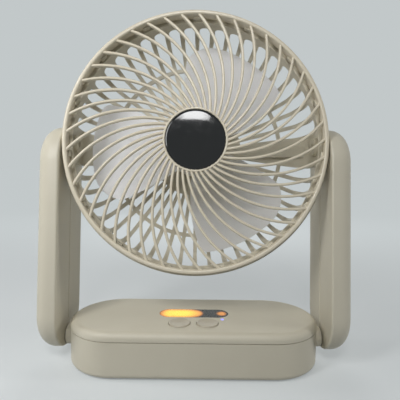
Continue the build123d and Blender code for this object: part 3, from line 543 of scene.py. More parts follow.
class Recipe(Graph):
    """A geometry node tree with named sizes as its inputs."""

    def __init__(self, name: str, material: bpy.types.Material) -> None:
        """Makes the group with its input and output nodes.

        Args:
            name: name of the group.
            material: material of the finished mesh.
        """
        self.group = bpy.data.node_groups.new(name, "GeometryNodeTree")
        super().__init__(self.group)
        self.group.interface.new_socket("Geometry", in_out="OUTPUT", socket_type="NodeSocketGeometry")
        self.entry = self.tree.nodes.new("NodeGroupInput")
        self.exit = self.tree.nodes.new("NodeGroupOutput")
        self.material = material
        self.sizes: dict[str, float | int] = {}

    def size(self, name: str, value: float | int) -> Value:
        """Adds a named input.

        Args:
            name: the input's name.
            value: its value in metres or radians, or a count.

        Returns:
            The input as a value of the tree.
        """
        kind = "NodeSocketInt" if isinstance(value, int) else "NodeSocketFloat"
        made = self.group.interface.new_socket(name, in_out="INPUT", socket_type=kind)
        self.sizes[made.identifier] = value
        return Value(self, self.entry.outputs[name])

    def sizes_of(self, assembly: Any, *fields: str) -> list[Value]:
        """Adds an input for each of several sizes of an assembly.

        Args:
            assembly: the assembly that holds the sizes.
            fields: names of the sizes.

        Returns:
            The inputs as values of the tree.
        """
        names = [field.replace("_", " ").title() for field in fields]
        return [self.size(name, getattr(assembly, field)) for name, field in zip(names, fields)]

    def point(self, x: Any, y: Any, z: Any) -> Value:
        """A vector from three values."""
        return self.node("ShaderNodeCombineXYZ", None, {0: x, 1: y, 2: z})

    def moved(self, geometry: Value, x: Any, y: Any, z: Any) -> Value:
        """Geometry shifted by three values."""
        inputs = {"Geometry": geometry, "Offset": self.point(x, y, z)}
        return self.node("GeometryNodeSetPosition", None, inputs)

    def path(self, place: Value, points: int) -> Value:
        """Open curve through given places.

        Args:
            place: place of each of its points.
            points: number of its points.

        Returns:
            The curve.
        """
        line = self.node("GeometryNodeCurvePrimitiveLine")
        fine = self.node("GeometryNodeResampleCurve", None, {"Curve": line, "Count": points})
        return self.node("GeometryNodeSetPosition", None, {"Geometry": fine, "Position": place})

    def rounded_bar(self, width: Any, height: Any, rounding: Any, steps: int = 3) -> Value:
        """Section of a bar with rounded edges.

        Args:
            width: size across.
            height: size along the section's own up.
            rounding: radius of its corners.
            steps: points on each corner.

        Returns:
            The section as a closed curve.
        """
        sides = {"Width": width, "Height": height}
        outline = self.node("GeometryNodeCurvePrimitiveQuadrilateral", None, sides)
        inputs = {"Curve": outline, "Count": steps, "Radius": rounding}
        return self.node("GeometryNodeFilletCurve", {"mode": "POLY"}, inputs)

    def sweep(self, path: Value, section: Value) -> Value:
        """Carries a section along a path, upright all the way.

        Args:
            path: the path.
            section: the section.

        Returns:
            The closed mesh.
        """
        level = self.node("GeometryNodeSetCurveNormal", {"mode": "Z_UP"}, {"Curve": path})
        inputs = {"Curve": level, "Profile Curve": section, "Fill Caps": True}
        return self.node("GeometryNodeCurveToMesh", None, inputs)

    def hoop(self, radius: Any, height: Any, section: Value, steps: int) -> Value:
        """Ring of one section about the Z axis.

        Args:
            radius: radius of the section's middle.
            height: height of the section's middle.
            section: the section.
            steps: number of steps round the axis.

        Returns:
            The ring's mesh.
        """
        inputs = {"Resolution": steps, "Radius": radius}
        circle = self.node("GeometryNodeCurvePrimitiveCircle", {"mode": "RADIUS"}, inputs)
        return self.sweep(self.moved(circle, 0.0, 0.0, height), section)

    def block(self, width: Any, length: Any, height: Any) -> Value:
        """Box about the origin."""
        return self.node("GeometryNodeMeshCube", None, {"Size": self.point(width, length, height)})

    def copies(self, piece: Value, points: Value, turn: Value | None = None) -> Value:
        """Copies of a piece on points.

        Args:
            piece: the piece.
            points: the points.
            turn: turn of each copy about X, Y and Z, if any.

        Returns:
            The copies.
        """
        inputs = {"Points": points, "Instance": piece}
        if turn is not None:
            inputs["Rotation"] = turn
        return self.node("GeometryNodeInstanceOnPoints", None, inputs)

    def grid(self, piece: Value, spread_x: Value, spread_y: Value) -> Value:
        """Copies of a piece at the four corners of a level rectangle."""
        inputs = {"Size X": spread_x, "Size Y": spread_y, "Vertices X": 2, "Vertices Y": 2}
        return self.copies(piece, self.node("GeometryNodeMeshGrid", None, inputs))

    def around(self, piece: Value, count: Value) -> Value:
        """Copies of a piece, turned evenly about the Z axis.

        Args:
            piece: the piece.
            count: number of copies.

        Returns:
            The copies.
        """
        points = self.node("GeometryNodePoints", None, {"Count": count})
        index = self.node("GeometryNodeInputIndex")
        return self.copies(piece, points, self.point(0.0, 0.0, index * math.tau / count))

    def build(self, name: str, geometry: list[Value], place: Matrix) -> bpy.types.Object:
        """Turns the tree into a plain mesh.

        Args:
            name: name of the finished piece.
            geometry: what the tree has made.
            place: transform of the finished mesh into the fan's frame.

        Returns:
            The piece, at the origin, with its place in its mesh.
        """
        joined = self.node("GeometryNodeJoinGeometry", None, {0: geometry})
        whole = self.node("GeometryNodeRealizeInstances", None, {0: joined})
        smooth = self.node("GeometryNodeSetShadeSmooth", None, {0: whole})
        inputs = {"Geometry": smooth, "Material": self.material}
        painted = self.node("GeometryNodeSetMaterial", None, inputs)
        self.tree.links.new(painted.socket, self.exit.inputs[0])
        holder = linked(name, bpy.data.meshes.new(name + "_seed"))
        modifier = holder.modifiers.new("shape", "NODES")
        modifier.node_group = self.group
        for identifier, value in self.sizes.items():
            modifier[identifier] = value
        bpy.context.view_layer.update()
        ready = holder.evaluated_get(bpy.context.evaluated_depsgraph_get())
        mesh = bpy.data.meshes.new_from_object(ready)
        holder.modifiers.clear()
        holder.data = mesh
        mesh.name = name
        mesh.transform(place)
        soften(mesh)
        return holder


def soften(mesh: bpy.types.Mesh, crease: float = 50.0) -> None:
    """Shades a mesh smooth apart from its sharp edges, and turns its faces outwards.

    Args:
        mesh: the mesh.
        crease: edges that turn through more degrees than this stay sharp.
    """
    work = bmesh.new()
    work.from_mesh(mesh)
    bmesh.ops.remove_doubles(work, verts=work.verts, dist=WELD)
    bmesh.ops.recalc_face_normals(work, faces=work.faces)
    for face in work.faces:
        face.smooth = True
    for edge in work.edges:
        edge.smooth = len(edge.link_faces) != 2 or edge.calc_face_angle() < math.radians(crease)
    work.to_mesh(mesh)
    work.free()


def turned(
    name: str,
    profile: list[tuple[float, float]],
    material: bpy.types.Material,
    place: Matrix,
    steps: int = 96,
) -> bpy.types.Object:
    """Makes a piece that is round about the Z axis.

    Args:
        name: name of the piece.
        profile: radius and height of each point of its section. A section that starts and ends on the
            axis is closed there, and any other one is closed to its start.
        material: its material.
        place: transform of the finished mesh into the fan's frame.
        steps: number of steps round the axis.

    Returns:
        The piece, at the origin, with its place in its mesh.
    """
    work = bmesh.new()
    spokes = [(math.cos(math.tau * i / steps), math.sin(math.tau * i / steps)) for i in range(steps)]
    rows = []
    for radius, height in profile:
        if radius == 0:
            rows.append([work.verts.new((0, 0, height))] * steps)
        else:
            rows.append([work.verts.new((radius * x, radius * y, height)) for x, y in spokes])
    if profile[0][0] > 0:
        rows.append(rows[0])
    for low, high in zip(rows, rows[1:]):
        for i in range(steps):
            corners = [low[i], low[(i + 1) % steps], high[(i + 1) % steps], high[i]]
            work.faces.new(list(dict.fromkeys(corners)))
    mesh = bpy.data.meshes.new(name)
    work.to_mesh(mesh)
    work.free()
    mesh.materials.append(material)
    mesh.transform(place)
    soften(mesh)
    return linked(name, mesh)


def rounded(
    top: tuple[float, float], reach: float, drop: float, steps: int = 8
) -> list[tuple[float, float]]:
    """Section points of a quarter of an ellipse.

    Args:
        top: radius and height of its top, where it is level.
        reach: how far it goes outwards.
        drop: how far it goes down.
        steps: number of steps.

    Returns:
        The points from the top to the outer end.
    """
    angles = [i / steps * math.pi / 2 for i in range(steps + 1)]
    return [(top[0] + reach * math.sin(a), top[1] - drop * (1 - math.cos(a))) for a in angles]


@dataclass(frozen=True)
class Screws:
    """A set of four like screws at the corners of a rectangle.

    Attributes:
        shank_length: length of a shank.
        spread_x: distance between the screws across.
        spread_y: distance between the screws along.
        head_radius: radius of a head.
        head_height: height of a head.
        shank_radius: radius of a shank.
        taper: radius of a head's top as a share of the head's radius.
        recess_length: length of the cross recess as a share of the head's radius.
        recess_width: width of its slots as a share of the head's radius.
    """

    shank_length: float
    spread_x: float
    spread_y: float
    head_radius: float = 2.7 * MM
    head_height: float = 1.65 * MM
    shank_radius: float = 1.4 * MM
    taper: float = 0.8
    recess_length: float = 1.15
    recess_width: float = 0.26

    def one(self, recipe: Recipe) -> Value:
        """Makes one screw along Z, with the top of its head at the origin.

        Args:
            recipe: the tree that it is made in.

        Returns:
            The screw's mesh, with a cross recess in its head.
        """
        head, rise, shank, length = recipe.sizes_of(
            self, "head_radius", "head_height", "shank_radius", "shank_length"
        )
        sides = {"Vertices": 40, "Radius Top": head * self.taper, "Radius Bottom": head, "Depth": rise}
        sunk = recipe.moved(recipe.node("GeometryNodeMeshCone", None, sides), 0.0, 0.0, rise * -1.0)
        reach, slot = head * self.recess_length, head * self.recess_width
        cross = [recipe.block(reach, slot, rise), recipe.block(slot, reach, rise)]
        inputs = {"Mesh 1": sunk, "Mesh 2": cross}
        cut = recipe.node("GeometryNodeMeshBoolean", {"operation": "DIFFERENCE"}, inputs)
        sides = {"Vertices": 24, "Radius": shank, "Depth": length}
        rod = recipe.node("GeometryNodeMeshCylinder", None, sides)
        below = recipe.moved(rod, 0.0, 0.0, rise * -1.0 - length * 0.5)
        return recipe.node("GeometryNodeJoinGeometry", None, {0: [cut, below]})

    def build(
        self, name: str, node: str, body: str, place: Matrix, material: bpy.types.Material
    ) -> bpy.types.Object:
        """Builds the screws in place of a solid.

        Args:
            name: name of the piece.
            node: the solid that they stand for.
            body: the body that they ride on.
            place: transform from the rectangle's own frame, with the heads' tops at its origin's level.
            material: their material.

        Returns:
            The four screws as one piece.
        """
        recipe = Recipe(name, material)
        corners = recipe.sizes_of(self, "spread_x", "spread_y")
        piece = recipe.build(name, [recipe.grid(self.one(recipe), *corners)], place)
        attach(piece, body)
        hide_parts(node)
        return piece


@dataclass
class Base:
    """The pill-shaped base with its lid, display and buttons.

    Attributes:
        wardrobe: the materials.
        button_flange: width of the flange that holds a button under the lid.
        button_flange_height: thickness of that flange.
        button_stem_radius: radius of the stem under a button.
        button_stem_length: length of that stem.
        button_rim: width of the rim round a button's dish.
        button_roll: height of the rim's rounded edge.
        button_dish: depth of the dish.
        button_step: share of that depth that drops straight from the rim.
        contact_count: contacts on each side of the charging socket's tongue.
        contact_pitch: distance between contacts.
        contact_width: width of a contact.
        contact_length: length of a contact.
        contact_thickness: thickness of a contact.
        tongue_thickness: thickness of the tongue that they lie on.
        tongue_set_back: how far the contacts start inside the socket's mouth.
    """

    wardrobe: Wardrobe
    button_flange: float = 1.2 * MM
    button_flange_height: float = 1.1 * MM
    button_stem_radius: float = 2.0 * MM
    button_stem_length: float = 0.3 * MM
    button_rim: float = 1.3 * MM
    button_roll: float = 0.78 * MM
    button_dish: float = 0.95 * MM
    button_step: float = 0.14
    contact_count: int = 12
    contact_pitch: float = 0.5 * MM
    contact_width: float = 0.26 * MM
    contact_length: float = 3.6 * MM
    contact_thickness: float = 0.06 * MM
    tongue_thickness: float = 0.7 * MM
    tongue_set_back: float = 0.9 * MM

    def dress(self) -> None:
        """Gives the base's solids their finishes."""
        axles = ("left_base_axle", "right_base_axle", "base_clips")
        self.wardrobe.dress(
            {
                Finish.CREAM: ("base_tub", "base_lid"),
                Finish.WINDOW: ("display_window",),
                Finish.DISPLAY: ("display_module",),
                Finish.LENS: ("indicator_lens",),
                Finish.BOARD: ("control_board", "charge_board"),
                Finish.DARK: ("tact_switches", "battery_tray"),
                Finish.BUTTON: ("left_button", "right_button"),
                Finish.WRAP: ("battery_cells",),
                Finish.RUBBER: ("rubber_feet",),
                Finish.WASHER: ("base_washers",),
                Finish.STEEL: ("board_screws", "base_screws", "charging_socket") + axles,
            }
        )

    def screws(self) -> bpy.types.Object:
        """Builds the screws in the underside, with their heads facing down.

        Returns:
            The screws.
        """
        low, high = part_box("base_screws")
        span = high - low
        heads = 2 * Screws.head_radius
        screws = Screws(span.z - Screws.head_height, span.x - heads, span.y - heads)
        middle = middle_of("base_screws")
        place = Matrix.Translation((middle.x, middle.y, low.z)) @ Matrix.Rotation(math.pi, 4, "X")
        steel = self.wardrobe.material(Finish.STEEL)
        return screws.build("cross_head_base_screws", "base_screws", "base", place, steel)

    def button(self, side: str) -> bpy.types.Object:
        """Builds one push button with a soft rim round its dished face.

        Args:
            side: left or right.

        Returns:
            The button.
        """
        node = f"{side}_button"
        low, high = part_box(node)
        flange = (high.x - low.x) / 2
        radius = flange - self.button_flange
        flange_low = low.z + self.button_stem_length
        flange_high = flange_low + self.button_flange_height
        profile = [
            (0.0, low.z),
            (self.button_stem_radius, low.z),
            (self.button_stem_radius, flange_low),
            (flange, flange_low),
            (flange, flange_high),
            (radius, flange_high),
        ]
        half_rim = self.button_rim / 2
        profile += rounded((radius - half_rim, high.z), half_rim, self.button_roll)[::-1]
        steps = 12
        for i in range(steps + 1):
            share = 1 - i / steps
            sunk = self.button_step + (1 - self.button_step) * (1 - share**2)
            profile.append(((radius - self.button_rim) * share, high.z - self.button_dish * sunk))
        middle = middle_of(node)
        cap = self.wardrobe.material(Finish.BUTTON)
        place = Matrix.Translation((middle.x, middle.y, 0))
        piece = turned(f"{side}_dished_button", profile, cap, place)
        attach(piece, node)
        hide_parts(node)
        return piece

    def contacts(self) -> bpy.types.Object:
        """Builds the gilt contacts on both sides of the charging socket's tongue.

        Returns:
            The contacts.
        """
        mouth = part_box("charging_socket")[1].y
        middle = middle_of("charging_socket")
        recipe = Recipe("socket_contacts", self.wardrobe.material(Finish.GILT))
        count, pitch = recipe.sizes_of(self, "contact_count", "contact_pitch")
        sides = recipe.sizes_of(self, "contact_width", "contact_length", "contact_thickness")
        points = recipe.node("GeometryNodePoints", None, {"Count": count})
        index = recipe.node("GeometryNodeInputIndex")
        row = recipe.moved(points, (index - (count - 1.0) * 0.5) * pitch, 0.0, 0.0)
        plate = recipe.block(*sides)
        level = (self.tongue_thickness + self.contact_thickness) / 2
        rows = [recipe.copies(plate, recipe.moved(row, 0.0, 0.0, z)) for z in (-level, level)]
        middle.y = mouth - self.tongue_set_back - self.contact_length / 2
        piece = recipe.build("socket_contacts", rows, Matrix.Translation(middle))
        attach(piece, "base")
        return piece


@dataclass
class Arms:
    """The two arms, each of a front and a rear half.

    Attributes:
        wardrobe: the materials.
        lean: degrees that the arms lean back at rest.
        screw_length: length of the shanks of the screws behind.
        screw_x: distance of the screws from the middle plane.
        screw_low: height of the lower screws above the base's hinge, along the arms.
        screw_high: height of the upper screws above it.
        head_level: distance of the heads' tops behind the arms' seam.
    """

    wardrobe: Wardrobe
    lean: float = 6.0
    screw_length: float = 34.0 * MM
    screw_x: float = 100.0 * MM
    screw_low: float = 45.0 * MM
    screw_high: float = 105.0 * MM
    head_level: float = 27.1 * MM

    def dress(self) -> None:
        """Gives the arms' solids their finishes."""
        halves = ("left_arm_front", "left_arm_rear", "right_arm_front", "right_arm_rear")
        self.wardrobe.dress({Finish.CREAM: halves, Finish.STEEL: ("arm_screws",)})

    def screws(self) -> bpy.types.Object:
        """Builds the screws in the arms' backs, with their heads facing back.

        Returns:
            The screws.
        """
        screws = Screws(self.screw_length, 2 * self.screw_x, self.screw_high - self.screw_low)
        hinge = Matrix.Translation(Vector(JOINTS["arm_fold"]["pos_m"]))
        upright = hinge @ Matrix.Rotation(math.radians(-self.lean), 4, "X")
        middle = Matrix.Translation((0, self.head_level, (self.screw_low + self.screw_high) / 2))
        place = upright @ middle @ Matrix.Rotation(math.radians(-90), 4, "X")
        steel = self.wardrobe.material(Finish.STEEL)
        return screws.build("cross_head_arm_screws", "arm_screws", "arms", place, steel)


@dataclass
class Head:
    """The round head: spiral front grille, rear cover, motor and impeller.

    Attributes:
        wardrobe: the materials.
        ring_radius: outer radius of the front ring.
        ring_wall: thickness of the ring.
        ring_front: front of the ring ahead of the hinge.
        ring_depth: depth of the ring.
        ring_rounding: radius of the ring's edges.
        rib_count: ribs of the front grille.
        rib_width: width of a rib.
        rib_depth: depth of a rib.
        rib_rounding: radius of a rib's edges.
        rib_arc_radius: radius of the arc that a rib follows.
        rib_sweep: angle that a rib turns through from hub to ring, in degrees.
        rib_phase: place of the first rib at the ring, clockwise from the top, in degrees.
        rib_set_back: how far the ribs lie behind the ring's front.
        dome_rise: how far the ribs rise towards the hub.
        hub_radius: outer radius of the hub's rim.
        hub_thickness: thickness of the hub.
        rim_rounding: radius of the edges of the hub's rim.
        plate_rounding: radius of the edges of the plate behind the disc.
        badge_radius: radius of the disc in the hub.
        badge_gap: gap between the disc and the rim.
        badge_edge: depth of the recess for the disc.
        badge_crown: how far the disc's middle stands ahead of its edge.
        badge_roll: width of the disc's rolled edge.
        badge_drop: depth of that edge.
        drum_inner_radius: inner radius of the drum.
        drum_wall: thickness of the drum.
        shoulder_radius: radius of the drum's rounded rear edge.
        head_rear: distance of the rear cover's back behind the hinge.
        duct_width: width of the cable duct inside the rear cover.
        duct_height: height of that duct.
        duct_margin: how far past its sides the duct's points are looked for, and how far they sink.
        duct_slack: how far a point may stand out of the shoulder.
        pad_span: where the pad over the duct's end starts and ends on the shoulder, in degrees.
        pad_overlap: how far the pad reaches past the duct's sides.
        pad_proud: how far the pad stands out of the shoulder.
        pad_sink: how far the pad reaches into the shoulder.
        cover_crease: edges of the rear cover that turn through more degrees than this stay sharp.
        seat_gap: gap between the front ring and the ledge behind it.
        seat_width: width of that ledge.
        seat_depth: depth of that ledge.
        seat_rounding: radius of the ledge's front edge.
        seat_slope: how far the ledge's inner face slopes outwards.
        hook_count: number of snap hooks.
        hook_width: width of a hook.
        hook_depth: length of a hook along the fan's axis.
        hook_thickness: thickness of a hook.
        hook_rounding: radius of a hook's edges.
        hook_tail: how far a hook stands out behind the front ring.
        sink: how far the ledge and the hooks are let into what carries them.
    """

    wardrobe: Wardrobe
    ring_radius: float = 94.8 * MM
    ring_wall: float = 3.0 * MM
    ring_front: float = 23.9 * MM
    ring_depth: float = 8.5 * MM
    ring_rounding: float = 1.2 * MM
    rib_count: int = 45
    rib_width: float = 1.9 * MM
    rib_depth: float = 3.4 * MM
    rib_rounding: float = 0.798 * MM
    rib_arc_radius: float = 78.8 * MM
    rib_sweep: float = 43.5
    rib_phase: float = 0.5
    rib_set_back: float = 0.8 * MM
    dome_rise: float = 1.3 * MM
    hub_radius: float = 23.2 * MM
    hub_thickness: float = 3.6 * MM
    rim_rounding: float = 0.5 * MM
    plate_rounding: float = 0.2 * MM
    badge_radius: float = 21.6 * MM
    badge_gap: float = 0.15 * MM
    badge_edge: float = 1.2 * MM
    badge_crown: float = 0.6 * MM
    badge_roll: float = 2.2 * MM
    badge_drop: float = 0.9 * MM
    drum_inner_radius: float = 92.5 * MM
    drum_wall: float = 2.0 * MM
    shoulder_radius: float = 14.0 * MM
    head_rear: float = 26.0 * MM
    duct_width: float = 9.0 * MM
    duct_height: float = 3.4 * MM
    duct_margin: float = 0.1 * MM
    duct_slack: float = 0.02 * MM
    pad_span: tuple[float, float] = (30.0, 70.0)
    pad_overlap: float = 0.7 * MM
    pad_proud: float = 0.03 * MM
    pad_sink: float = 0.8 * MM
    cover_crease: float = 35.0
    seat_gap: float = 1.0 * MM
    seat_width: float = 2.6 * MM
    seat_depth: float = 2.2 * MM
    seat_rounding: float = 0.4 * MM
    seat_slope: float = 0.3 * MM
    hook_count: int = 15
    hook_width: float = 5.0 * MM
    hook_depth: float = 4.0 * MM
    hook_thickness: float = 1.2 * MM
    hook_rounding: float = 0.35 * MM
    hook_tail: float = 0.6 * MM
    sink: float = 0.2 * MM

    def dress(self) -> None:
        """Gives the head's solids their finishes."""
        self.wardrobe.dress(
            {
                Finish.GRILLE_PAINTED_LIGHTER: ("front_grille",),
                Finish.GLOSS_BLACK: ("hub_badge",),
                Finish.CREAM: ("rear_cover", "left_head_axle", "right_head_axle"),
                Finish.WASHER: ("head_washers",),
                Finish.STEEL: ("head_clips", "bearings", "motor_shaft"),
                Finish.CORE: ("stator_core", "rotor_yoke"),
                Finish.COPPER: ("stator_coils",),
                Finish.BOARD: ("driver_board",),
                Finish.WHITE: ("impeller",),
                Finish.MAGNET: ("magnet_ring",),
            }
        )

    def placed(self) -> Matrix:
        """Transform from the head's own frame.

        Returns:
            The transform of a frame with its origin on the hinge and its Z forward along the fan's axis.
        """
        across = Vector((1, 0, 0))
        forward = Vector(JOINTS["blade_spin"]["axis"])
        turn = Matrix((across, forward.cross(across), forward)).transposed().to_4x4()
        return Matrix.Translation(HEAD_HINGE) @ turn

    @staticmethod
    def spot(radius: float, turn: float) -> Vector:
        """Place in the head's own frame at a radius and a turn in degrees, clockwise from the top."""
        return Vector((math.sin(math.radians(turn)), math.cos(math.radians(turn)))) * radius

    def hub_front(self) -> float:
        """Level of the hub's front in the head's own frame."""
        return self.ring_front - self.rib_set_back + self.dome_rise

    def badge(self) -> bpy.types.Object:
        """Builds the bare disc in the hub, with a crowned face and a rolled edge.

        Returns:
            The disc.
        """
        crown_radius = (self.badge_radius**2 + self.badge_crown**2) / (2 * self.badge_crown)
        middle = self.hub_front() + self.badge_crown
        steps = 10
        profile = []
        for i in range(steps + 1):
            radius = (self.badge_radius - self.badge_roll) * i / steps
            profile.append((radius, middle - radius**2 / (2 * crown_radius)))
        profile += rounded(profile.pop(), self.badge_roll, self.badge_drop, steps)
        back = self.hub_front() - self.badge_edge
        profile += [(self.badge_radius, back), (0.0, back)]
        black = self.wardrobe.material(Finish.GLOSS_BLACK)
        disc = turned("bare_hub_disc", profile, black, self.placed(), steps=128)
        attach(disc, "head")
        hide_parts("hub_badge")
        return disc

    def seat(self) -> bpy.types.Object:
        """Builds the ledge inside the drum that the front ring is seated on.

        Returns:
            The ledge.
        """
        top = self.ring_front - self.ring_depth - self.seat_gap
        bottom = top - self.seat_depth
        outer = self.drum_inner_radius + self.sink
        inner = self.drum_inner_radius - self.seat_width
        corner = inner + self.seat_rounding
        roll = rounded((corner, top), self.seat_rounding, self.seat_rounding, steps=5)
        profile = [(outer, bottom), (outer, top)]
        profile += [(2 * corner - radius, height) for radius, height in roll]
        profile.append((inner + self.seat_slope, bottom))
        cream = self.wardrobe.material(Finish.CREAM)
        ledge = turned("drum_ledge", profile, cream, self.placed(), steps=240)
        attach(ledge, "head")
        return ledge

    def hooks(self) -> bpy.types.Object:
        """Builds the snap hooks that hold the front ring in the drum.

        Returns:
            The hooks.
        """
        recipe = Recipe("snap_hooks", self.wardrobe.material(Finish.CREAM))
        count, width, depth, thickness = recipe.sizes_of(
            self, "hook_count", "hook_width", "hook_depth", "hook_thickness"
        )
        section = recipe.rounded_bar(thickness, depth, self.hook_rounding)
        along = recipe.node("GeometryNodeSplineParameter")
        radius = self.ring_radius - self.ring_wall - self.hook_thickness / 2 + self.sink
        level = self.ring_front - self.ring_depth + self.hook_depth / 2 - self.hook_tail
        path = recipe.path(recipe.point((along - 0.5) * width, radius, level), points=2)
        ring = recipe.around(recipe.sweep(path, section), count)
        hooks = recipe.build("ring_snap_hooks", [ring], self.placed())
        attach(hooks, "head")
        return hooks

    def ribs(self, recipe: Recipe) -> Value:
        """Makes the grille's ribs, which follow arcs and rise towards the hub.

        Args:
            recipe: the grille's tree.

        Returns:
            The ribs.
        """
        outer_radius = self.ring_radius - self.ring_wall / 2
        root = self.spot(self.hub_radius - self.ring_wall / 2, self.rib_phase + self.rib_sweep)
        tip = self.spot(outer_radius, self.rib_phase)
        chord = tip - root
        bow = math.sqrt(self.rib_arc_radius**2 - (chord.length / 2) ** 2)
        centre = (root + tip) / 2 + Vector((-chord.y, chord.x)).normalized() * bow
        from_root, from_tip = root - centre, tip - centre

        count, width, depth = recipe.sizes_of(self, "rib_count", "rib_width", "rib_depth")
        rounding, arc, rise = recipe.sizes_of(self, "rib_rounding", "rib_arc_radius", "dome_rise")
        outer = recipe.size("Rib Outer Radius", outer_radius)
        front = recipe.size("Rib Front", self.ring_front - self.rib_set_back)
        centre_x = recipe.size("Rib Centre X", centre.x)
        centre_y = recipe.size("Rib Centre Y", centre.y)
        start = recipe.size("Rib Start", math.atan2(from_root.y, from_root.x))
        end = recipe.size("Rib End", math.atan2(from_tip.y, from_tip.x))

        along = recipe.node("GeometryNodeSplineParameter")
        angle = start + (end - start) * along
        x = centre_x + arc * angle.cosine()
        y = centre_y + arc * angle.sine()
        radius = (x * x + y * y) ** 0.5
        height = front - depth * 0.5 + rise * (1.0 - radius / outer)
        path = recipe.path(recipe.point(x, y, height), points=40)
        return recipe.around(recipe.sweep(path, recipe.rounded_bar(width, depth, rounding)), count)

    def ring(self, recipe: Recipe) -> Value:
        """Makes the grille's outer ring.

        Args:
            recipe: the grille's tree.

        Returns:
            The ring.
        """
        sides = recipe.sizes_of(self, "ring_wall", "ring_depth", "ring_rounding")
        radius = self.ring_radius - self.ring_wall / 2
        level = self.ring_front - self.ring_depth / 2
        return recipe.hoop(radius, level, recipe.rounded_bar(*sides, steps=5), steps=240)

    def hub(self, recipe: Recipe) -> list[Value]:
        """Makes the grille's hub.

        Args:
            recipe: the grille's tree.

        Returns:
            The hub's rim, and the plate that carries the disc.
        """
        rim_wall = self.hub_radius - self.badge_radius - self.badge_gap
        rim_radius = self.hub_radius - rim_wall / 2
        rim_level = self.hub_front() - self.hub_thickness / 2
        rim_section = recipe.rounded_bar(rim_wall, self.hub_thickness, self.rim_rounding, steps=4)
        rim = recipe.hoop(rim_radius, rim_level, rim_section, steps=144)
        plate_depth = self.hub_thickness - self.badge_edge
        plate_level = self.hub_front() - self.badge_edge - plate_depth / 2
        plate_section = recipe.rounded_bar(rim_radius, plate_depth, self.plate_rounding, steps=2)
        return [rim, recipe.hoop(rim_radius / 2, plate_level, plate_section, steps=144)]

    def grille(self) -> bpy.types.Object:
        """Builds the front grille: ring, hub and spiral ribs.

        Returns:
            The finished grille.
        """
        recipe = Recipe("spiral_grille", self.wardrobe.material(Finish.GRILLE_PAINTED_LIGHTER))
        whole = [self.ribs(recipe), self.ring(recipe), *self.hub(recipe)]
        grille = recipe.build("spiral_front_grille", whole, self.placed())
        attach(grille, "head")
        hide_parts("front_grille")
        return grille

    def shoulder(self) -> Vector:
        """Radius and level of the middle of the round that the drum's rear edge follows."""
        outer = self.drum_inner_radius + self.drum_wall
        return Vector((outer - self.shoulder_radius, self.shoulder_radius - self.head_rear))

    def tuck_duct(self, cover: bmesh.types.BMesh) -> None:
        """Draws the points of the cable duct's end in under the shoulder.

        Args:
            cover: the rear cover in the head's own frame.
        """
        middle = self.shoulder()
        top = self.drum_wall + self.duct_height - self.head_rear + self.duct_margin
        side = self.duct_width / 2 + self.duct_margin
        for vertex in cover.verts:
            x, y, z = vertex.co
            radius = vertex.co.xy.length
            past = Vector((radius, z)) - middle
            in_duct = x >= 0 and abs(y) <= side and z <= top
            if in_duct and past.x >= 0 and past.length >= self.shoulder_radius + self.duct_slack:
                kept = middle + past.normalized() * (self.shoulder_radius - self.duct_margin)
                vertex.co = (*(vertex.co.xy * kept.x / radius), kept.y)

    def add_pad(self, cover: bmesh.types.BMesh) -> None:
        """Closes the shoulder over the duct's end with a flush pad.

        Args:
            cover: the rear cover in the head's own frame.
        """
        middle = self.shoulder()
        steps = 12
        low, high = self.pad_span
        rises = [math.radians(low + (high - low) * i / steps) for i in range(steps + 1)]
        half_turn = (self.duct_width / 2 + self.pad_overlap) / (middle.x + self.shoulder_radius)
        turns = [half_turn * (2 * i / steps - 1) for i in range(steps + 1)]
        shells = []
        for reach in (self.shoulder_radius + self.pad_proud, self.shoulder_radius - self.pad_sink):
            rows = []
            for rise in rises:
                radius = middle.x + reach * math.cos(rise)
                level = middle.y - reach * math.sin(rise)
                spots = [(radius * math.cos(turn), radius * math.sin(turn), level) for turn in turns]
                rows.append([cover.verts.new(spot) for spot in spots])
            shells.append(rows)
        outer, inner = shells
        for i in range(steps):
            for j in range(steps):
                for rows in shells:
                    cover.faces.new((rows[i][j], rows[i][j + 1], rows[i + 1][j + 1], rows[i + 1][j]))
            for j in (0, steps):
                cover.faces.new((outer[i][j], outer[i + 1][j], inner[i + 1][j], inner[i][j]))
                cover.faces.new((outer[j][i], outer[j][i + 1], inner[j][i + 1], inner[j][i]))

    def cover(self) -> bpy.types.Object:
        """Builds the rear cover with the cable duct's end closed off flush with the rounded shoulder.

        Returns:
            The cover.
        """
        mesh = frame["nodes"]["rear_cover"].data.copy()
        mesh.name = "smooth_rear_cover"
        mesh.transform(self.placed().inverted())
        work = bmesh.new()
        work.from_mesh(mesh)
        bmesh.ops.remove_doubles(work, verts=work.verts, dist=WELD)
        self.tuck_duct(work)
        self.add_pad(work)
        work.to_mesh(mesh)
        work.free()
        mesh.transform(self.placed())
        soften(mesh, self.cover_crease)
        cover = linked("smooth_rear_cover", mesh)
        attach(cover, "head")
        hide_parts("rear_cover")
        return cover


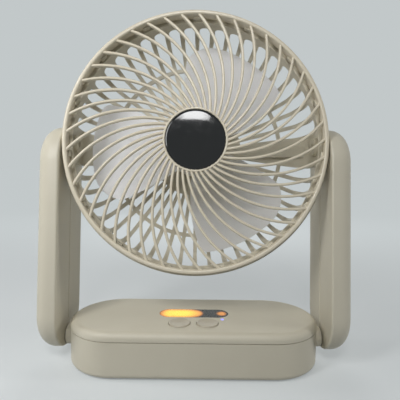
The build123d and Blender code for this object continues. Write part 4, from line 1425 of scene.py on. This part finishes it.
@dataclass(frozen=True)
class Lamp:
    """One soft lamp, placed round the fan as seen from the head.

    Attributes:
        name: the lamp's name.
        azimuth: degrees to the right of straight in front.
        elevation: degrees above the level.
        distance: metres from the head.
        width: width of its face in metres.
        height: height of its face in metres.
        power: power in watts.
        mirrored: whether shiny faces show its reflection.
    """

    name: str
    azimuth: float
    elevation: float
    distance: float
    width: float
    height: float
    power: float
    mirrored: bool = True

    def hang(self, target: Vector) -> None:
        """Adds the lamp.

        Args:
            target: the place that it faces.
        """
        data = bpy.data.lights.new(self.name, "AREA")
        data.shape = "RECTANGLE"
        data.size = self.width
        data.size_y = self.height
        data.energy = self.power
        lamp = linked(self.name, data)
        lamp.visible_camera = False
        lamp.visible_glossy = self.mirrored
        side, rise = math.radians(self.azimuth), math.radians(self.elevation)
        level = math.cos(rise)
        away = Vector((math.sin(side) * level, -math.cos(side) * level, math.sin(rise)))
        facing = (-away).to_track_quat("-Z", "Y").to_matrix().to_4x4()
        lamp.matrix_world = Matrix.Translation(target + away * self.distance) @ facing


@dataclass
class Studio:
    """Pale floor, soft lights and the camera.

    Attributes:
        camera_place: the camera's place.
        camera_down: how far the camera looks down, in degrees.
        camera_turn: how far it turns to the left, in degrees.
        camera_roll: how far its right side is raised, in degrees.
        camera_near: nearest distance that it sees.
        lens: focal length in millimetres on the sensor.
        sensor: sensor width in millimetres.
        lamps: the soft lamps.
        room_light: strength of the even light of the room.
        room_colour: screen colour of the room and its floor, as seen directly and in reflections.
        floor_reach: distance of the floor's edges from the fan.
        floor_near: screen colour of the floor that the lamps light, near the fan.
        floor_far: the same, far from the fan.
        floor_fade: distances in metres between which the one goes over into the other.
        floor_glow: share of the room's colour that the floor shows near the fan without the lamps.
    """

    camera_place: tuple[float, float, float] = (4.394 * MM, -286.713 * MM, 141.789 * MM)
    camera_down: float = 4.529
    camera_turn: float = 0.141
    camera_roll: float = 0.621
    camera_near: float = 10 * MM
    lens: float = 34.11
    sensor: float = 36.0
    lamps: tuple[Lamp, ...] = (
        Lamp("front_panel", -3.0, 33.5, 0.62, 0.155, 0.13, 1.15),
        Lamp("left_key", -43.0, 23.0, 0.41, 0.10, 0.22, 0.86),
        Lamp("left_side", -93.0, 8.0, 0.90, 0.12, 0.40, 2.0, False),
        Lamp("right_side", 84.0, 9.0, 0.90, 0.12, 0.40, 2.1, False),
        Lamp("back", 180.0, 8.0, 0.90, 0.50, 0.40, 4.6, False),
    )
    room_light: float = 0.11
    room_colour: str = "C2C8C9"
    floor_reach: float = 30.0
    floor_near: str = "B8BBBC"
    floor_far: str = "3C3D3E"
    floor_fade: tuple[float, float] = (0.15, 0.8)
    floor_glow: float = 0.42

    def camera(self) -> None:
        """Sets the camera at the photograph's angle."""
        data = bpy.data.cameras.new("camera")
        data.lens = self.lens
        data.sensor_width = self.sensor
        data.sensor_fit = "HORIZONTAL"
        data.clip_start = self.camera_near
        camera = linked("camera", data)
        turn = Matrix.Rotation(math.radians(self.camera_turn), 4, "Z")
        down = Matrix.Rotation(math.radians(90 - self.camera_down), 4, "X")
        roll = Matrix.Rotation(math.radians(self.camera_roll), 4, "Z")
        camera.matrix_world = Matrix.Translation(self.camera_place) @ turn @ down @ roll
        bpy.context.scene.camera = camera

    def lights(self) -> None:
        """Hangs the lamps and adds the even light of the room."""
        for lamp in self.lamps:
            lamp.hang(HEAD_HINGE)
        world = bpy.data.worlds.new("room")
        world.use_nodes = True
        graph = Graph(world.node_tree)
        strength = self.room_light + graph.seen() * (1.0 - self.room_light)
        inputs = {"Color": colour_of(self.room_colour), "Strength": strength}
        light = graph.node("ShaderNodeBackground", None, inputs)
        graph.node("ShaderNodeOutputWorld", None, {"Surface": light})
        bpy.context.scene.world = world

    def floor(self) -> None:
        """Lays a wide pale floor that runs into the room's colour."""
        reach = self.floor_reach
        corners = [(-reach, -reach, 0), (reach, -reach, 0), (reach, reach, 0), (-reach, reach, 0)]
        mesh = bpy.data.meshes.new("pale_floor")
        mesh.from_pydata(corners, [], [range(len(corners))])
        floor = linked("pale_floor", mesh)
        surface = Surface("pale_floor")
        x, y, _ = surface.split()
        away = ((x * x + y * y) ** 0.5).ramp(*self.floor_fade)
        surface.paint(away, self.floor_near, self.floor_far)
        surface.set("Roughness", 0.7)
        surface.set("Specular IOR Level", 0.0)
        shown = surface.seen() * (self.floor_glow + away * (1.0 - self.floor_glow))
        surface.glow(surface.blend(shown, BLACK, colour_of(self.room_colour)))
        mesh.materials.append(surface.material)

    def build(self) -> None:
        """Sets up the whole studio."""
        self.camera()
        self.lights()
        self.floor()
        bpy.context.scene.view_settings.view_transform = "Standard"


def main() -> None:
    """Builds the fan's pieces and the studio in order."""
    logging.basicConfig(level=logging.INFO, format="%(name)s: %(message)s")
    Studio().build()
    wardrobe = Wardrobe()
    base = Base(wardrobe)
    arms = Arms(wardrobe)
    head = Head(wardrobe)
    for assembly in (base, arms, head):
        assembly.dress()
    pieces = [base.screws(), base.contacts(), base.button("left"), base.button("right"), arms.screws()]
    pieces += [head.grille(), head.badge(), head.seat(), head.hooks(), head.cover()]
    for piece in pieces:
        LOG.info("%s: %d faces", piece.name, len(piece.data.polygons))


if __name__ == "__main__":
    main()
